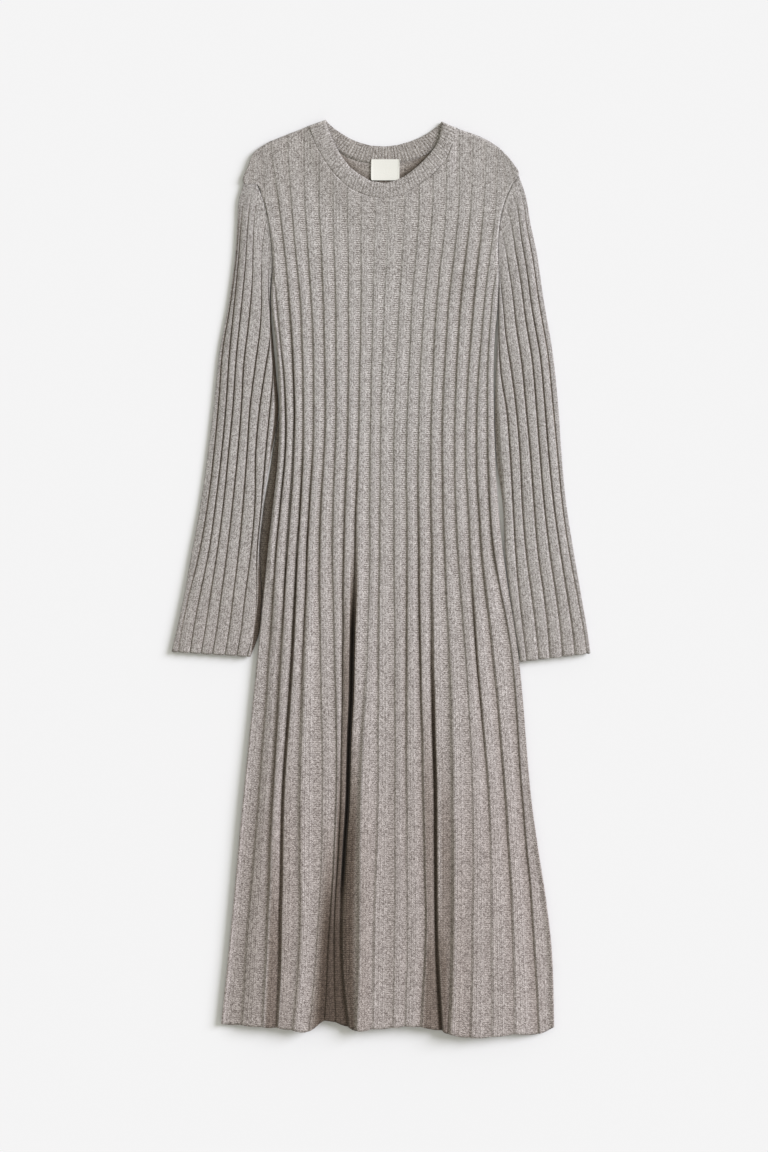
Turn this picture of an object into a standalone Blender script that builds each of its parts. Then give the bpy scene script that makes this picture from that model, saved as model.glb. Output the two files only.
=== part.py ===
"""Ribbed knit sweater dress, laid flat on its back.

Six closed cloth walls: a front and a back panel, two sleeves, a neckband and a blank neck label.
Frame: metres, +Z up, the neck towards +Y and the wearer's left side towards +X. The dress lies on
the plane z = 0, and the origin is under the middle of its outline.

Inside this script a place is given in millimetres as "across" (from the neck's middle towards +X),
"down" (from the higher neck point towards the hem) and "up" (from the surface it lies on).
"""
import math
from typing import NamedTuple

import bmesh
import bpy
import numpy as np

MILLIMETRE = 0.001

# ---- Driving dimensions, in millimetres -----------------------------------------------------

SEAM_GAP = 0.3          # between two pieces that are sewn together
BACK_WALL = 2.8         # back panel, its ribs pressed flat
BACK_EDGE_UP = 1.4      # where the back's folded edge leaves the surface
FRONT_WALL = 2.4        # front panel at the foot of a groove
FRONT_EDGE_WALL = 1.2   # the same wall where it turns round a folded edge
EDGE_ROLL = 13.0        # width over which a folded edge rounds down
BODY_LOFT = 2.2         # air between front and back, away from their edges
LOFT_REACH = 26.0       # distance from an edge at which the air is full
NECK_SLANT = 3.5        # the cut edge at the neck leans in by this much under the seam
SKIRT_LIFT = 7.5        # height of the skirt's loose cloth between its folds
SKIRT_LIFT_FROM = 540.0
SKIRT_LIFT_FULL = 800.0
UNDERARM_DOWN = 197.0
RIBS_DRAWN_IN = 3.0     # ribs at each side that narrow towards the armhole
HEM_WAVE_FROM = 980.0   # the hem's unevenness fades out above this level
BACK_HEM_DOWN = 1184.0  # the back's hem stays just inside the front's

COLUMNS_PER_RIB = 4
RIB_CREST = (0.0, 1.0, 0.9, 0.1)        # height share of a body rib at its four columns
RIB_COLUMN = (0.0, 0.14, 0.58, 0.76)    # and where they lie, as shares of the rib's width
SLEEVE_CREST = (0.0, 0.8, 1.0, 0.75)
SLEEVE_COLUMN = (0.0, 0.16, 0.5, 0.84)

SLEEVE_WALL = 2.3
SLEEVE_TOP_AT_SEAM = 5.8   # height of the sleeve's grooves at the armhole
SLEEVE_TOP = 7.2           # and along the arm
SLEEVE_EDGE_UP = 3.4       # height of the sleeve's folded edges
SLEEVE_ROLL = 10.0
SLEEVE_FOOT = 6.0          # the underside is flat from this distance inside the edges
SLEEVE_RIB_RISE = 1.8

BAND_WALL = 3.2
BAND_BACK_WALL = 2.9
BAND_CLEARANCE = 1.8       # between the neckband's front and back halves
BAND_RIB_RISE = 0.5
BAND_CROWN = 0.3
BAND_FRONT_STATIONS = 120
BAND_BACK_STATIONS = 92
BAND_TURN_STATIONS = 4     # between the two halves, round each neck point

LABEL_ACROSS = (-16.8, 20.8)
LABEL_DOWN = (52.1, 79.9)
LABEL_UP = 3.7
LABEL_THICKNESS = 0.5
LABEL_CORNER = 2.0

# ---- Tables ---------------------------------------------------------------------------------

LEVELS = {"shoulder": 40, "yoke": 106, "bust": 238, "waist": 410, "hip": 568, "thigh": 700,
          "knee": 898, "calf": 1110, "hem": 1194}


class Groove(NamedTuple):
    """One groove between two ribs: its place across the body at each level.

    The first and last rows are the body's side edges. drop is how far the hem hangs below its
    level at that groove.
    """
    shoulder: float
    yoke: float
    bust: float
    waist: float
    hip: float
    thigh: float
    knee: float
    calf: float
    hem: float
    drop: float


GROOVES = (
    Groove(-170, -174, -149, -138, -153, -166, -186, -206, -215, 0),
    Groove(-161, -157, -142, -129, -142, -151, -166, -184, -189, 1),
    Groove(-150, -140, -125, -118, -128, -135, -147, -156, -161, 3),
    Groove(-128, -123, -111, -106, -114, -120, -133, -138, -141, 4),
    Groove(-106, -105, -96, -93, -101, -106, -113, -114, -122, 7),
    Groove(-86, -86, -80, -78, -85, -84, -82, -91, -100, 9),
    Groove(-68, -68, -64, -64, -68, -65, -63, -74, -79, -5),
    Groove(-49, -49, -47, -48, -53, -54, -57, -66, -64, -3),
    Groove(-31, -31, -31, -34, -38, -41, -48, -56, -48, 3),
    Groove(-12, -12, -15, -18, -19, -22, -31, -33, -35, 8),
    Groove(6, 6, 0, -5, -6, -8, -9, -15, -15, 6),
    Groove(27, 27, 20, 13, 13, 14, 14, 13, 11, 4),
    Groove(46, 46, 37, 30, 30, 30, 29, 29, 27, 2),
    Groove(64, 64, 53, 45, 46, 48, 52, 54, 48, 3),
    Groove(82, 82, 70, 62, 63, 64, 68, 71, 77, 8),
    Groove(99, 99, 86, 77, 80, 85, 89, 88, 85, 12),
    Groove(117, 115, 102, 93, 97, 107, 116, 115, 113, 17),
    Groove(135, 132, 119, 108, 114, 122, 138, 142, 142, 16),
    Groove(151, 148, 133, 122, 129, 143, 160, 171, 172, 13),
    Groove(157, 165, 143, 137, 145, 168, 183, 200, 204, 13),
    Groove(163, 178, 151, 146, 157, 177, 195, 223, 225, 4),
)
LAST_GROOVE = len(GROOVES) - 1

# Height of the body's ribs at each level: plump over the bodice, stretched flatter in the skirt.
RIB_RISE = {"shoulder": 1.4, "yoke": 1.5, "bust": 1.7, "waist": 1.8, "hip": 1.6, "thigh": 1.3,
            "knee": 1.1, "calf": 1.0, "hem": 1.0}


class Fold(NamedTuple):
    """A long trough in the skirt: the groove it runs along, its levels, and its shape in ribs."""
    groove: float
    start: float
    full: float
    depth: float
    left_reach: float
    right_reach: float


FOLDS = (
    Fold(groove=3.0, start=610, full=790, depth=6.0, left_reach=1.0, right_reach=1.4),
    Fold(groove=7.9, start=560, full=760, depth=7.5, left_reach=2.4, right_reach=1.3),
    Fold(groove=14.0, start=620, full=820, depth=6.5, left_reach=1.3, right_reach=1.5),
    Fold(groove=10.2, start=640, full=860, depth=1.6, left_reach=1.2, right_reach=1.0),
    Fold(groove=17.2, start=700, full=950, depth=1.8, left_reach=1.3, right_reach=1.3),
)


class YokeRow(NamedTuple):
    """A row of the body above the underarm: its share of the way down, its two ends, and how
    far its ends round down, from 0 at a flat seam to 1 at a folded edge."""
    share: float
    left_across: float
    left_down: float
    right_across: float
    right_down: float
    roll: float


YOKE_ROWS = (
    YokeRow(0.00, -170.0, 41.6, 162.7, 46.9, 1.0),
    YokeRow(0.04, -174.0, 47.5, 165.8, 50.6, 1.0),
    YokeRow(0.13, -178.5, 58.7, 171.3, 58.1, 1.0),
    YokeRow(0.27, -185.1, 83.8, 178.1, 73.0, 0.8),
    YokeRow(0.36, -167.3, 85.8, 169.3, 86.5, 0.25),
    YokeRow(0.47, -160.7, 102.3, 162.0, 102.3, 0.25),
    YokeRow(0.58, -156.1, 116.8, 156.8, 118.1, 0.25),
    YokeRow(0.70, -152.1, 135.3, 153.5, 135.3, 0.25),
    YokeRow(0.84, -148.2, 163.0, 151.5, 160.4, 0.3),
    YokeRow(1.00, -146.9, 196.0, 152.1, 197.3, 0.7),
)
ARMHOLE_FROM_ROW = 3

BODY_ROWS_DOWN = (238, 290, 345, 400, 455, 510, 565, 615, 665, 715, 770, 830, 895, 960, 1030,
                  1100, 1160, 1194)

LEFT_SHOULDER = ((-170.0, 41.6), (-163.4, 36.3), (-150.2, 28.4), (-137.0, 23.4), (-123.8, 17.8),
                 (-110.6, 13.0), (-98.7, 7.9))
RIGHT_SHOULDER = ((96.0, 10.6), (100.7, 12.8), (113.9, 17.0), (127.1, 22.0), (140.3, 28.6),
                  (153.5, 37.6), (162.7, 46.9))


class NeckPoint(NamedTuple):
    """A point of the neckband: on the seam with the body, and on its free edge."""
    seam_across: float
    seam_down: float
    free_across: float
    free_down: float


NECK_FRONT = (
    NeckPoint(-98.7, 7.9, -76.9, 0.0),
    NeckPoint(-96.0, 17.8, -75.8, 5.3),
    NeckPoint(-89.4, 35.0, -72.9, 13.9),
    NeckPoint(-78.3, 54.1, -65.7, 30.4),
    NeckPoint(-67.7, 69.3, -55.8, 48.2),
    NeckPoint(-55.5, 81.8, -44.6, 62.7),
    NeckPoint(-41.0, 93.1, -32.7, 71.8),
    NeckPoint(-22.0, 101.0, -17.5, 80.8),
    NeckPoint(0.3, 104.3, 0.3, 83.8),
    NeckPoint(16.2, 101.8, 14.0, 80.8),
    NeckPoint(29.4, 96.6, 25.4, 75.8),
    NeckPoint(46.0, 86.4, 37.0, 68.0),
    NeckPoint(63.7, 73.0, 50.5, 56.1),
    NeckPoint(75.6, 61.4, 61.0, 44.9),
    NeckPoint(83.5, 50.8, 68.5, 35.0),
    NeckPoint(90.8, 33.0, 73.6, 23.1),
    NeckPoint(94.1, 20.0, 76.2, 10.5),
    NeckPoint(96.0, 10.6, 76.9, 2.6),
)
NECK_BACK = (
    NeckPoint(-98.7, 7.9, -76.9, 0.0),
    NeckPoint(-90.8, 15.2, -72.9, 4.6),
    NeckPoint(-77.6, 27.1, -65.0, 11.6),
    NeckPoint(-63.0, 39.6, -56.4, 17.5),
    NeckPoint(-51.2, 47.8, -44.6, 24.6),
    NeckPoint(-36.6, 54.1, -32.7, 29.6),
    NeckPoint(-18.2, 57.6, -16.8, 33.9),
    NeckPoint(1.7, 58.4, 1.7, 35.0),
    NeckPoint(21.5, 56.6, 18.8, 33.0),
    NeckPoint(42.6, 51.6, 34.7, 28.4),
    NeckPoint(61.1, 43.5, 47.9, 23.1),
    NeckPoint(74.3, 34.3, 61.1, 15.8),
    NeckPoint(86.1, 22.6, 70.3, 8.6),
    NeckPoint(96.0, 10.6, 76.9, 2.6),
)


class SleeveRow(NamedTuple):
    """A row across a sleeve below its armhole: its outer end, its inner end, and how much of
    the armhole's curve it keeps."""
    outer_across: float
    outer_down: float
    inner_across: float
    inner_down: float
    bend: float


RIGHT_SLEEVE_ROWS = (
    SleeveRow(-191.5, 106.3, -151.2, 215.8, 0.75),
    SleeveRow(-193.7, 139.3, -152.5, 235.6, 0.48),
    SleeveRow(-195.7, 172.3, -152.8, 258.1, 0.28),
    SleeveRow(-204.3, 238.3, -151.9, 293.7, 0.10),
    SleeveRow(-216.8, 304.3, -148.2, 338.6, 0.0),
    SleeveRow(-224.1, 370.3, -145.2, 387.4, 0.0),
    SleeveRow(-232.0, 436.3, -150.2, 442.9, 0.0),
    SleeveRow(-241.2, 502.3, -156.3, 506.2, 0.0),
    SleeveRow(-253.1, 568.3, -163.5, 572.2, 0.0),
    SleeveRow(-265.0, 634.3, -168.3, 638.9, 0.0),
    SleeveRow(-273.6, 673.9, -172.4, 679.1, 0.0),
    SleeveRow(-280.2, 701.6, -176.6, 708.2, 0.0),
)
LEFT_SLEEVE_ROWS = (
    SleeveRow(187.8, 101.0, 153.1, 215.8, 0.75),
    SleeveRow(193.7, 135.3, 152.8, 235.6, 0.48),
    SleeveRow(201.6, 172.3, 152.3, 258.1, 0.28),
    SleeveRow(211.5, 238.3, 151.6, 297.7, 0.10),
    SleeveRow(222.8, 304.3, 151.5, 341.2, 0.0),
    SleeveRow(230.0, 370.3, 152.1, 387.4, 0.0),
    SleeveRow(234.6, 436.3, 154.5, 444.2, 0.0),
    SleeveRow(240.6, 502.3, 159.3, 507.5, 0.0),
    SleeveRow(250.6, 568.3, 163.2, 576.2, 0.0),
    SleeveRow(262.0, 634.3, 171.0, 642.2, 0.0),
    SleeveRow(268.8, 673.9, 177.0, 681.8, 0.0),
    SleeveRow(272.9, 703.6, 181.8, 714.8, 0.0),
)


class SleeveGroove(NamedTuple):
    """One groove of a sleeve: its share of the way from the outer to the inner folded edge."""
    armhole: float
    upper_arm: float
    elbow: float
    wrist: float


SLEEVE_LEVELS = (0, 4, 7, 12)   # the rows at which the four shares hold; row 0 is the armhole
RIGHT_SLEEVE_GROOVES = (
    SleeveGroove(0.02, 0.03, 0.09, 0.083),
    SleeveGroove(0.05, 0.14, 0.21, 0.23),
    SleeveGroove(0.09, 0.275, 0.335, 0.37),
    SleeveGroove(0.165, 0.465, 0.48, 0.51),
    SleeveGroove(0.45, 0.72, 0.63, 0.675),
    SleeveGroove(0.80, 0.92, 0.77, 0.825),
    SleeveGroove(0.98, 0.98, 0.93, 0.96),
)
LEFT_SLEEVE_GROOVES = (
    SleeveGroove(0.04, 0.09, 0.057, 0.05),
    SleeveGroove(0.14, 0.24, 0.20, 0.22),
    SleeveGroove(0.31, 0.38, 0.345, 0.40),
    SleeveGroove(0.56, 0.57, 0.51, 0.58),
    SleeveGroove(0.92, 0.80, 0.68, 0.737),
    SleeveGroove(0.98, 0.96, 0.844, 0.908),
)
SLEEVE_UNDERSIDE = (0.94, 0.75, 0.5, 0.25, 0.06)   # shares across, from the inner edge back

# ---- Curves and small sums ------------------------------------------------------------------


def ease(start, end, value):
    """Smooth step from 0 at start to 1 at end."""
    t = np.clip((value - start) / (end - start), 0.0, 1.0)
    return t * t * (3.0 - 2.0 * t)


def round_over(distance, reach):
    """Height share of a quarter ellipse that rises over reach."""
    t = np.clip(distance / reach, 0.0, 1.0)
    return np.sqrt(np.clip(1.0 - (1.0 - t) ** 2, 0.0, 1.0))


def curve(knots, values, at):
    """Smooth curve through values at knots, read at one place."""
    knots = np.asarray(knots, float)
    values = np.asarray(values, float)
    slopes = np.gradient(values, knots, axis=0)
    at = min(max(at, knots[0]), knots[-1])
    i = min(int(np.searchsorted(knots, at, side="right")) - 1, len(knots) - 2)
    span = knots[i + 1] - knots[i]
    t = (at - knots[i]) / span
    near = (1 + 2 * t) * (1 - t) ** 2 * values[i] + t * (1 - t) ** 2 * span * slopes[i]
    far = t * t * (3 - 2 * t) * values[i + 1] + t * t * (t - 1) * span * slopes[i + 1]
    return near + far


def lengths_along(line):
    """Distance of each point of a line from its start."""
    steps = np.linalg.norm(np.diff(line, axis=0), axis=1)
    return np.concatenate([[0.0], np.cumsum(steps)])


def along(line, distance):
    """Point at a distance along a line of points."""
    lengths = lengths_along(line)
    return np.array([np.interp(distance, lengths, line[:, k]) for k in range(line.shape[1])])


def beside(line, distance):
    """The line moved sideways by distance, to its right as it runs, in across and down."""
    steps = np.diff(line, axis=0)
    normals = np.stack([steps[:, 1], -steps[:, 0]], axis=1)
    normals /= np.linalg.norm(normals, axis=1)[:, None]
    before = np.vstack([normals[:1], normals])
    after = np.vstack([normals, normals[-1:]])
    mitre = before + after
    mitre /= (np.sum(mitre * before, axis=1))[:, None]
    return line + distance * mitre


# ---- The body's layout ----------------------------------------------------------------------


def groove_across(groove, down):
    """Place across the body of a groove, or of a line between two, at a level."""
    table = np.array([[getattr(row, level) for row in GROOVES] for level in LEVELS], float)
    row = curve(list(LEVELS.values()), table, down)
    return float(np.interp(groove, np.arange(len(GROOVES)), row))


def body_columns():
    """Groove numbers of the front's columns, four to a rib and one at the last edge."""
    columns = [rib + share for rib in range(LAST_GROOVE) for share in RIB_COLUMN]
    return np.array(columns + [LAST_GROOVE])


def top_outline(neck):
    """Shoulders and neck seam, as one line that runs across the body."""
    seam = [(point.seam_across, point.seam_down) for point in neck]
    return np.array(list(LEFT_SHOULDER[:-1]) + seam + list(RIGHT_SHOULDER[1:]))


def layout(columns, neck, hem_down, hem_drop):
    """Plan of a body panel: across and down of every column, row by row.

    The columns nearest the neck points are moved onto them, so that the seams meet there.
    Returns the plan, shaped rows x columns x 2, and the numbers of those two columns.
    """
    outline = top_outline(neck)
    top_across = np.array([groove_across(column, LEVELS["shoulder"]) for column in columns])
    corners = []
    for corner in (LEFT_SHOULDER[-1][0], RIGHT_SHOULDER[0][0]):
        nearest = int(np.argmin(np.abs(top_across - corner)))
        top_across[nearest] = corner
        corners.append(nearest)
    top_down = np.interp(top_across, outline[:, 0], outline[:, 1])
    top_shift = top_across - [groove_across(c, d) for c, d in zip(columns, top_down)]
    near_left = np.clip(1.0 - columns / RIBS_DRAWN_IN, 0.0, 1.0)
    near_right = np.clip(1.0 - (LAST_GROOVE - columns) / RIBS_DRAWN_IN, 0.0, 1.0)
    plan = []
    for row in YOKE_ROWS:
        down = top_down + row.share * (UNDERARM_DOWN - top_down)
        across = np.array([groove_across(c, d) for c, d in zip(columns, down)])
        across += top_shift * (1.0 - row.share) ** 3
        points = np.stack([across, down], axis=1)
        left = np.array([row.left_across, row.left_down]) - points[0]
        right = np.array([row.right_across, row.right_down]) - points[-1]
        plan.append(points + near_left[:, None] * left + near_right[:, None] * right)
    drops = np.interp(columns, np.arange(len(GROOVES)), [row.drop for row in GROOVES])
    for level in BODY_ROWS_DOWN:
        level = min(level, hem_down)
        across = np.array([groove_across(column, level) for column in columns])
        down = level + hem_drop * drops * ease(HEM_WAVE_FROM, LEVELS["hem"], level)
        plan.append(np.stack([across, down], axis=1))
    return np.array(plan), corners


def plain_side(plan, columns, corners):
    """Plan of a panel's plain side: some of its columns, drawn in a little at the neck seam."""
    plain = plan[:, columns].copy()
    drawn_in = beside(plan[0, corners[0]:corners[1] + 1], -NECK_SLANT)
    for number, column in enumerate(columns):
        if corners[0] < column < corners[1]:
            plain[0, number] = drawn_in[column - corners[0]]
    return plain


def edge_rolls():
    """How far each row's ends round down, for all rows."""
    return np.array([row.roll for row in YOKE_ROWS] + [1.0] * len(BODY_ROWS_DOWN))


def edge_distance(plan):
    """Distance of every point from the nearer end of its row."""
    from_left = plan[:, :, 0] - plan[:, :1, 0]
    from_right = plan[:, -1:, 0] - plan[:, :, 0]
    return np.minimum(from_left, from_right)


def fold_lift(columns, plan):
    """Height that the skirt's loose cloth has over the back, less its troughs."""
    down = plan[:, :, 1]
    lift = SKIRT_LIFT * ease(SKIRT_LIFT_FROM, SKIRT_LIFT_FULL, down)
    for fold in FOLDS:
        offset = columns - fold.groove
        reach = np.where(offset < 0, fold.left_reach, fold.right_reach)
        shape = 0.5 + 0.5 * np.cos(np.pi * np.clip(np.abs(offset) / reach, 0.0, 1.0))
        lift = lift - fold.depth * shape * ease(fold.start, fold.full, down)
    return np.maximum(lift, 0.0)


# ---- Meshes ---------------------------------------------------------------------------------


def strip(faces, first, second):
    """Close the gap between two chains of vertices that run side by side."""
    for a, b in zip(second, second[1:]):
        faces.append((first[0], a, b))
    for a, b in zip(first, first[1:]):
        faces.append((a, second[-1], b))


def grid_faces(faces, grid, closed):
    """Quads between the rows of a grid of vertex numbers."""
    for upper, lower in zip(grid, grid[1:]):
        around = len(upper) if closed else len(upper) - 1
        for k in range(around):
            m = (k + 1) % len(upper)
            faces.append((upper[k], upper[m], lower[m], lower[k]))


def wall(outer, inner, outer_match, inner_match, closed):
    """Vertices and faces of a wall between an outer and an inner grid of points.

    outer_match and inner_match number the columns that face each other at the wall's ends.
    """
    points = [tuple(p) for row in outer for p in row] + [tuple(p) for row in inner for p in row]
    outer_ids = np.arange(outer.shape[0] * outer.shape[1]).reshape(outer.shape[:2])
    inner_ids = outer_ids.size + np.arange(inner.shape[0] * inner.shape[1]).reshape(inner.shape[:2])
    faces = []
    grid_faces(faces, outer_ids.tolist(), closed)
    grid_faces(faces, inner_ids.tolist(), closed)
    for end in (0, -1):
        chain, plain = outer_ids[end].tolist(), inner_ids[end].tolist()
        starts = list(zip(outer_match, inner_match))
        if closed:
            chain, plain = chain + chain[:1], plain + plain[:1]
            starts.append((len(chain) - 1, len(plain) - 1))
        for (a, c), (b, d) in zip(starts, starts[1:]):
            strip(faces, plain[c:d + 1], chain[a:b + 1])
    if not closed:
        for side in (0, -1):
            rows = zip(outer_ids[:, side].tolist(), inner_ids[:, side].tolist())
            rows = list(rows)
            for (a, b), (c, d) in zip(rows, rows[1:]):
                faces.append((a, b, d, c))
    return points, faces


def make_object(name, points, faces, material):
    """Object with a closed mesh whose faces point outwards, from points in millimetres."""
    world = [(across * MILLIMETRE, -down * MILLIMETRE, up * MILLIMETRE)
             for across, down, up in points]
    mesh = bpy.data.meshes.new(name)
    mesh.from_pydata(world, [], faces)
    work = bmesh.new()
    work.from_mesh(mesh)
    bmesh.ops.triangulate(work, faces=work.faces[:], quad_method="SHORT_EDGE")
    bmesh.ops.recalc_face_normals(work, faces=work.faces[:])
    work.to_mesh(mesh)
    work.free()
    mesh.materials.append(material)
    mesh.shade_smooth()
    mesh.set_sharp_from_angle(angle=math.radians(50))
    piece = bpy.data.objects.new(name, mesh)
    bpy.context.scene.collection.objects.link(piece)
    return piece


def make_material(name, colour, roughness):
    """Plain cloth material."""
    material = bpy.data.materials.new(name)
    material.use_nodes = True
    shader = material.node_tree.nodes["Principled BSDF"]
    shader.inputs["Base Color"].default_value = (*colour, 1.0)
    shader.inputs["Roughness"].default_value = roughness
    shader.inputs["Metallic"].default_value = 0.0
    return material


# ---- The pieces -----------------------------------------------------------------------------


def front_panel():
    """Front: ribs raised over a plain inside, folded edges at the sides, troughs in the skirt.

    Returns the wall and the line of its neck seam.
    """
    columns = body_columns()
    plan, corners = layout(columns, NECK_FRONT, LEVELS["hem"], 1.0)
    distance = edge_distance(plan)
    rows, count = distance.shape
    loft_by_row = BODY_LOFT * ease(0.1, 1.0, np.minimum(
        [row.share for row in YOKE_ROWS] + [1.0] * len(BODY_ROWS_DOWN), 1.0))
    loft = loft_by_row[:, None] + fold_lift(columns, plan)
    inside = BACK_WALL + SEAM_GAP + loft * ease(0.0, LOFT_REACH, distance)

    plain_columns = np.arange(0, count, COLUMNS_PER_RIB)
    for row in range(rows):
        inside[row] = np.interp(np.arange(count), plain_columns, inside[row, plain_columns])

    roll = edge_rolls()[:, None]
    full = 1.0 - roll * (1.0 - round_over(distance, EDGE_ROLL))
    shoulder = np.ones(count, bool)
    shoulder[corners[0] + 1:corners[1]] = False
    full[0, shoulder] = 0.0
    thickness = FRONT_EDGE_WALL + (FRONT_WALL - FRONT_EDGE_WALL) * full

    crest = np.array([RIB_CREST[k % COLUMNS_PER_RIB] for k in range(count - 1)] + [0.0])
    rise = np.array([np.interp(row[:, 1], list(LEVELS.values()), list(RIB_RISE.values()))
                     for row in plan])
    rise = rise * (0.35 + 0.65 * full)
    rise[0] *= 0.6
    outer = np.dstack([plan, inside + thickness + crest * rise])
    inner = np.dstack([plain_side(plan, plain_columns, corners), inside[:, plain_columns]])
    points, faces = wall(outer, inner, list(plain_columns), list(range(len(plain_columns))), False)
    return points, faces, plan[0, corners[0]:corners[1] + 1]


def back_panel():
    """Back: plain inside, and an underside that is flat where it rests.

    Returns the wall and the line of its neck seam.
    """
    columns = np.arange(0, 2 * LAST_GROOVE + 1) / 2.0
    plan, corners = layout(columns, NECK_BACK, BACK_HEM_DOWN, 0.0)
    inside = np.dstack([plan, np.full(plan.shape[:2], BACK_WALL)])
    under_columns = np.arange(0, len(columns), 2)
    under = plain_side(plan, under_columns, corners)
    up = np.zeros(under.shape[:2])
    up[:, 0] = BACK_EDGE_UP * edge_rolls()
    up[:, -1] = BACK_EDGE_UP * edge_rolls()
    shoulder = (under_columns <= corners[0]) | (under_columns >= corners[1])
    up[0, shoulder] = BACK_EDGE_UP
    underside = np.dstack([under, up])
    matches = list(range(len(under_columns)))
    points, faces = wall(inside, underside, list(under_columns), matches, False)
    return points, faces, plan[0, corners[0]:corners[1] + 1]


def sleeve(rows, grooves, armhole):
    """Sleeve: a flattened tube, open at the armhole and the cuff, ribbed above and flat below."""
    starts = np.vstack([armhole[0], [(row.outer_across, row.outer_down) for row in rows]])
    ends = np.vstack([armhole[-1], [(row.inner_across, row.inner_down) for row in rows]])
    bends = [1.0] + [row.bend for row in rows]
    length = lengths_along(armhole)[-1]

    def place(row, share):
        """Point of a row at a share of the way across the sleeve."""
        straight = armhole[0] + share * (armhole[-1] - armhole[0])
        curved = along(armhole, share * length) - straight
        return starts[row] + share * (ends[row] - starts[row]) + bends[row] * curved

    outer, inner = [], []
    for row in range(len(bends)):
        width = lengths_along(np.array([place(row, s) for s in np.linspace(0, 1, 9)]))[-1]
        top = SLEEVE_TOP_AT_SEAM + (SLEEVE_TOP - SLEEVE_TOP_AT_SEAM) * ease(0, 4, row)
        edges = [0.0] + [curve(SLEEVE_LEVELS, groove, row) for groove in grooves] + [1.0]
        shares, crests = [], []
        for left, right in zip(edges, edges[1:]):
            shares += [left + part * (right - left) for part in SLEEVE_COLUMN]
            crests += list(SLEEVE_CREST)
        shares.append(1.0)
        crests.append(0.0)
        outer_row, inner_row = [], []
        for share, crest in zip(shares, crests):
            distance = min(share, 1.0 - share) * width
            up = SLEEVE_EDGE_UP + (top - SLEEVE_EDGE_UP) * round_over(distance, SLEEVE_ROLL)
            up += crest * SLEEVE_RIB_RISE * min(1.0, 0.25 + distance / SLEEVE_ROLL)
            outer_row.append((*place(row, share), up))
        for share in SLEEVE_UNDERSIDE:
            distance = min(share, 1.0 - share) * width
            up = SLEEVE_EDGE_UP * (1.0 - round_over(distance, SLEEVE_FOOT))
            outer_row.append((*place(row, share), up))
        inset = SLEEVE_WALL / width
        for share in edges + list(SLEEVE_UNDERSIDE[1:-1]):
            moved = inset + share * (1.0 - 2.0 * inset)
            distance = min(share, 1.0 - share) * width
            rest = top - SLEEVE_WALL if len(inner_row) < len(edges) else SLEEVE_WALL
            up = SLEEVE_EDGE_UP + (rest - SLEEVE_EDGE_UP) * round_over(distance, SLEEVE_ROLL)
            inner_row.append((*place(row, moved), up))
        outer.append(outer_row)
        inner.append(inner_row)
    top_matches = [COLUMNS_PER_RIB * k for k in range(len(grooves) + 2)]
    under_matches = [top_matches[-1] + 2 + k for k in range(len(SLEEVE_UNDERSIDE) - 2)]
    inner_matches = list(range(len(top_matches) + len(under_matches)))
    return wall(np.array(outer), np.array(inner), top_matches + under_matches, inner_matches, True)


def neckband(front_seam, back_seam):
    """Neckband: one closed ring of doubled rib, folded over at the two neck points."""
    stack = BAND_BACK_WALL + BAND_CLEARANCE + BAND_WALL
    turn = stack / 2.0
    inner_turn = BAND_CLEARANCE / 2.0
    inner_middle = BAND_BACK_WALL + inner_turn
    front_free = np.array([(p.free_across, p.free_down) for p in NECK_FRONT])
    back_free = np.array([(p.free_across, p.free_down) for p in NECK_BACK])

    def station(seam, free, share):
        """Seam point and free point at a share of the way along one half."""
        pair = []
        for line in (seam, free):
            length = lengths_along(line)[-1]
            pair.append(along(line, turn + share * (length - 2.0 * turn)))
        return pair

    stations = []
    for k in range(BAND_FRONT_STATIONS):
        share = k / (BAND_FRONT_STATIONS - 1)
        stations.append((*station(front_seam, front_free, share), math.pi / 2.0))
    for share, start, finish in ((1.0, math.pi / 2.0, -math.pi / 2.0),
                                 (0.0, -math.pi / 2.0, math.pi / 2.0)):
        front_pair = station(front_seam, front_free, share)
        back_pair = station(back_seam, back_free, share)
        turning = []
        for k in range(1, BAND_TURN_STATIONS + 1):
            part = k / (BAND_TURN_STATIONS + 1)
            angle = start + part * (finish - start)
            to_back = 0.5 - angle / math.pi
            seam = front_pair[0] + to_back * (back_pair[0] - front_pair[0])
            free = front_pair[1] + to_back * (back_pair[1] - front_pair[1])
            turning.append((seam, free, angle))
        if share == 1.0:
            stations += turning
            for m in range(BAND_BACK_STATIONS):
                back_share = 1.0 - m / (BAND_BACK_STATIONS - 1)
                stations.append((*station(back_seam, back_free, back_share), -math.pi / 2.0))
        else:
            stations += turning

    outward = {1: np.array([0.35, -0.937]), -1: np.array([-0.35, -0.937])}
    rings = []
    for number, (seam, free, angle) in enumerate(stations):
        away = outward[1 if seam[0] > 0 else -1] * math.cos(angle)
        rib = BAND_RIB_RISE * (number % 2)
        rise_front = rib * max(0.0, math.sin(angle))
        rise_back = rib * max(0.0, -math.sin(angle))
        ring = []
        for share, crown in ((0.0, 0.0), (0.5, BAND_CROWN), (1.0, -BAND_CROWN)):
            plan = seam + share * (free - seam) + away * (turn + crown)
            up = turn + (turn + crown * max(0.0, math.sin(angle)) + rise_front) * math.sin(angle)
            ring.append((*plan, max(up, 0.0)))
        for share, crown in ((1.0, -BAND_CROWN), (0.5, 0.0), (0.0, 0.0)):
            plan = seam + share * (free - seam) + away * inner_turn
            lift = (crown + rise_back) * max(0.0, -math.sin(angle))
            up = inner_middle + inner_turn * math.sin(angle) + lift
            ring.append((*plan, up))
        rings.append(ring)
    count = len(rings[0])
    points = [point for ring in rings for point in ring]
    faces = []
    for number in range(len(rings)):
        following = (number + 1) % len(rings)
        for k in range(count):
            m = (k + 1) % count
            faces.append((number * count + k, number * count + m,
                          following * count + m, following * count + k))
    return points, faces


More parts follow.
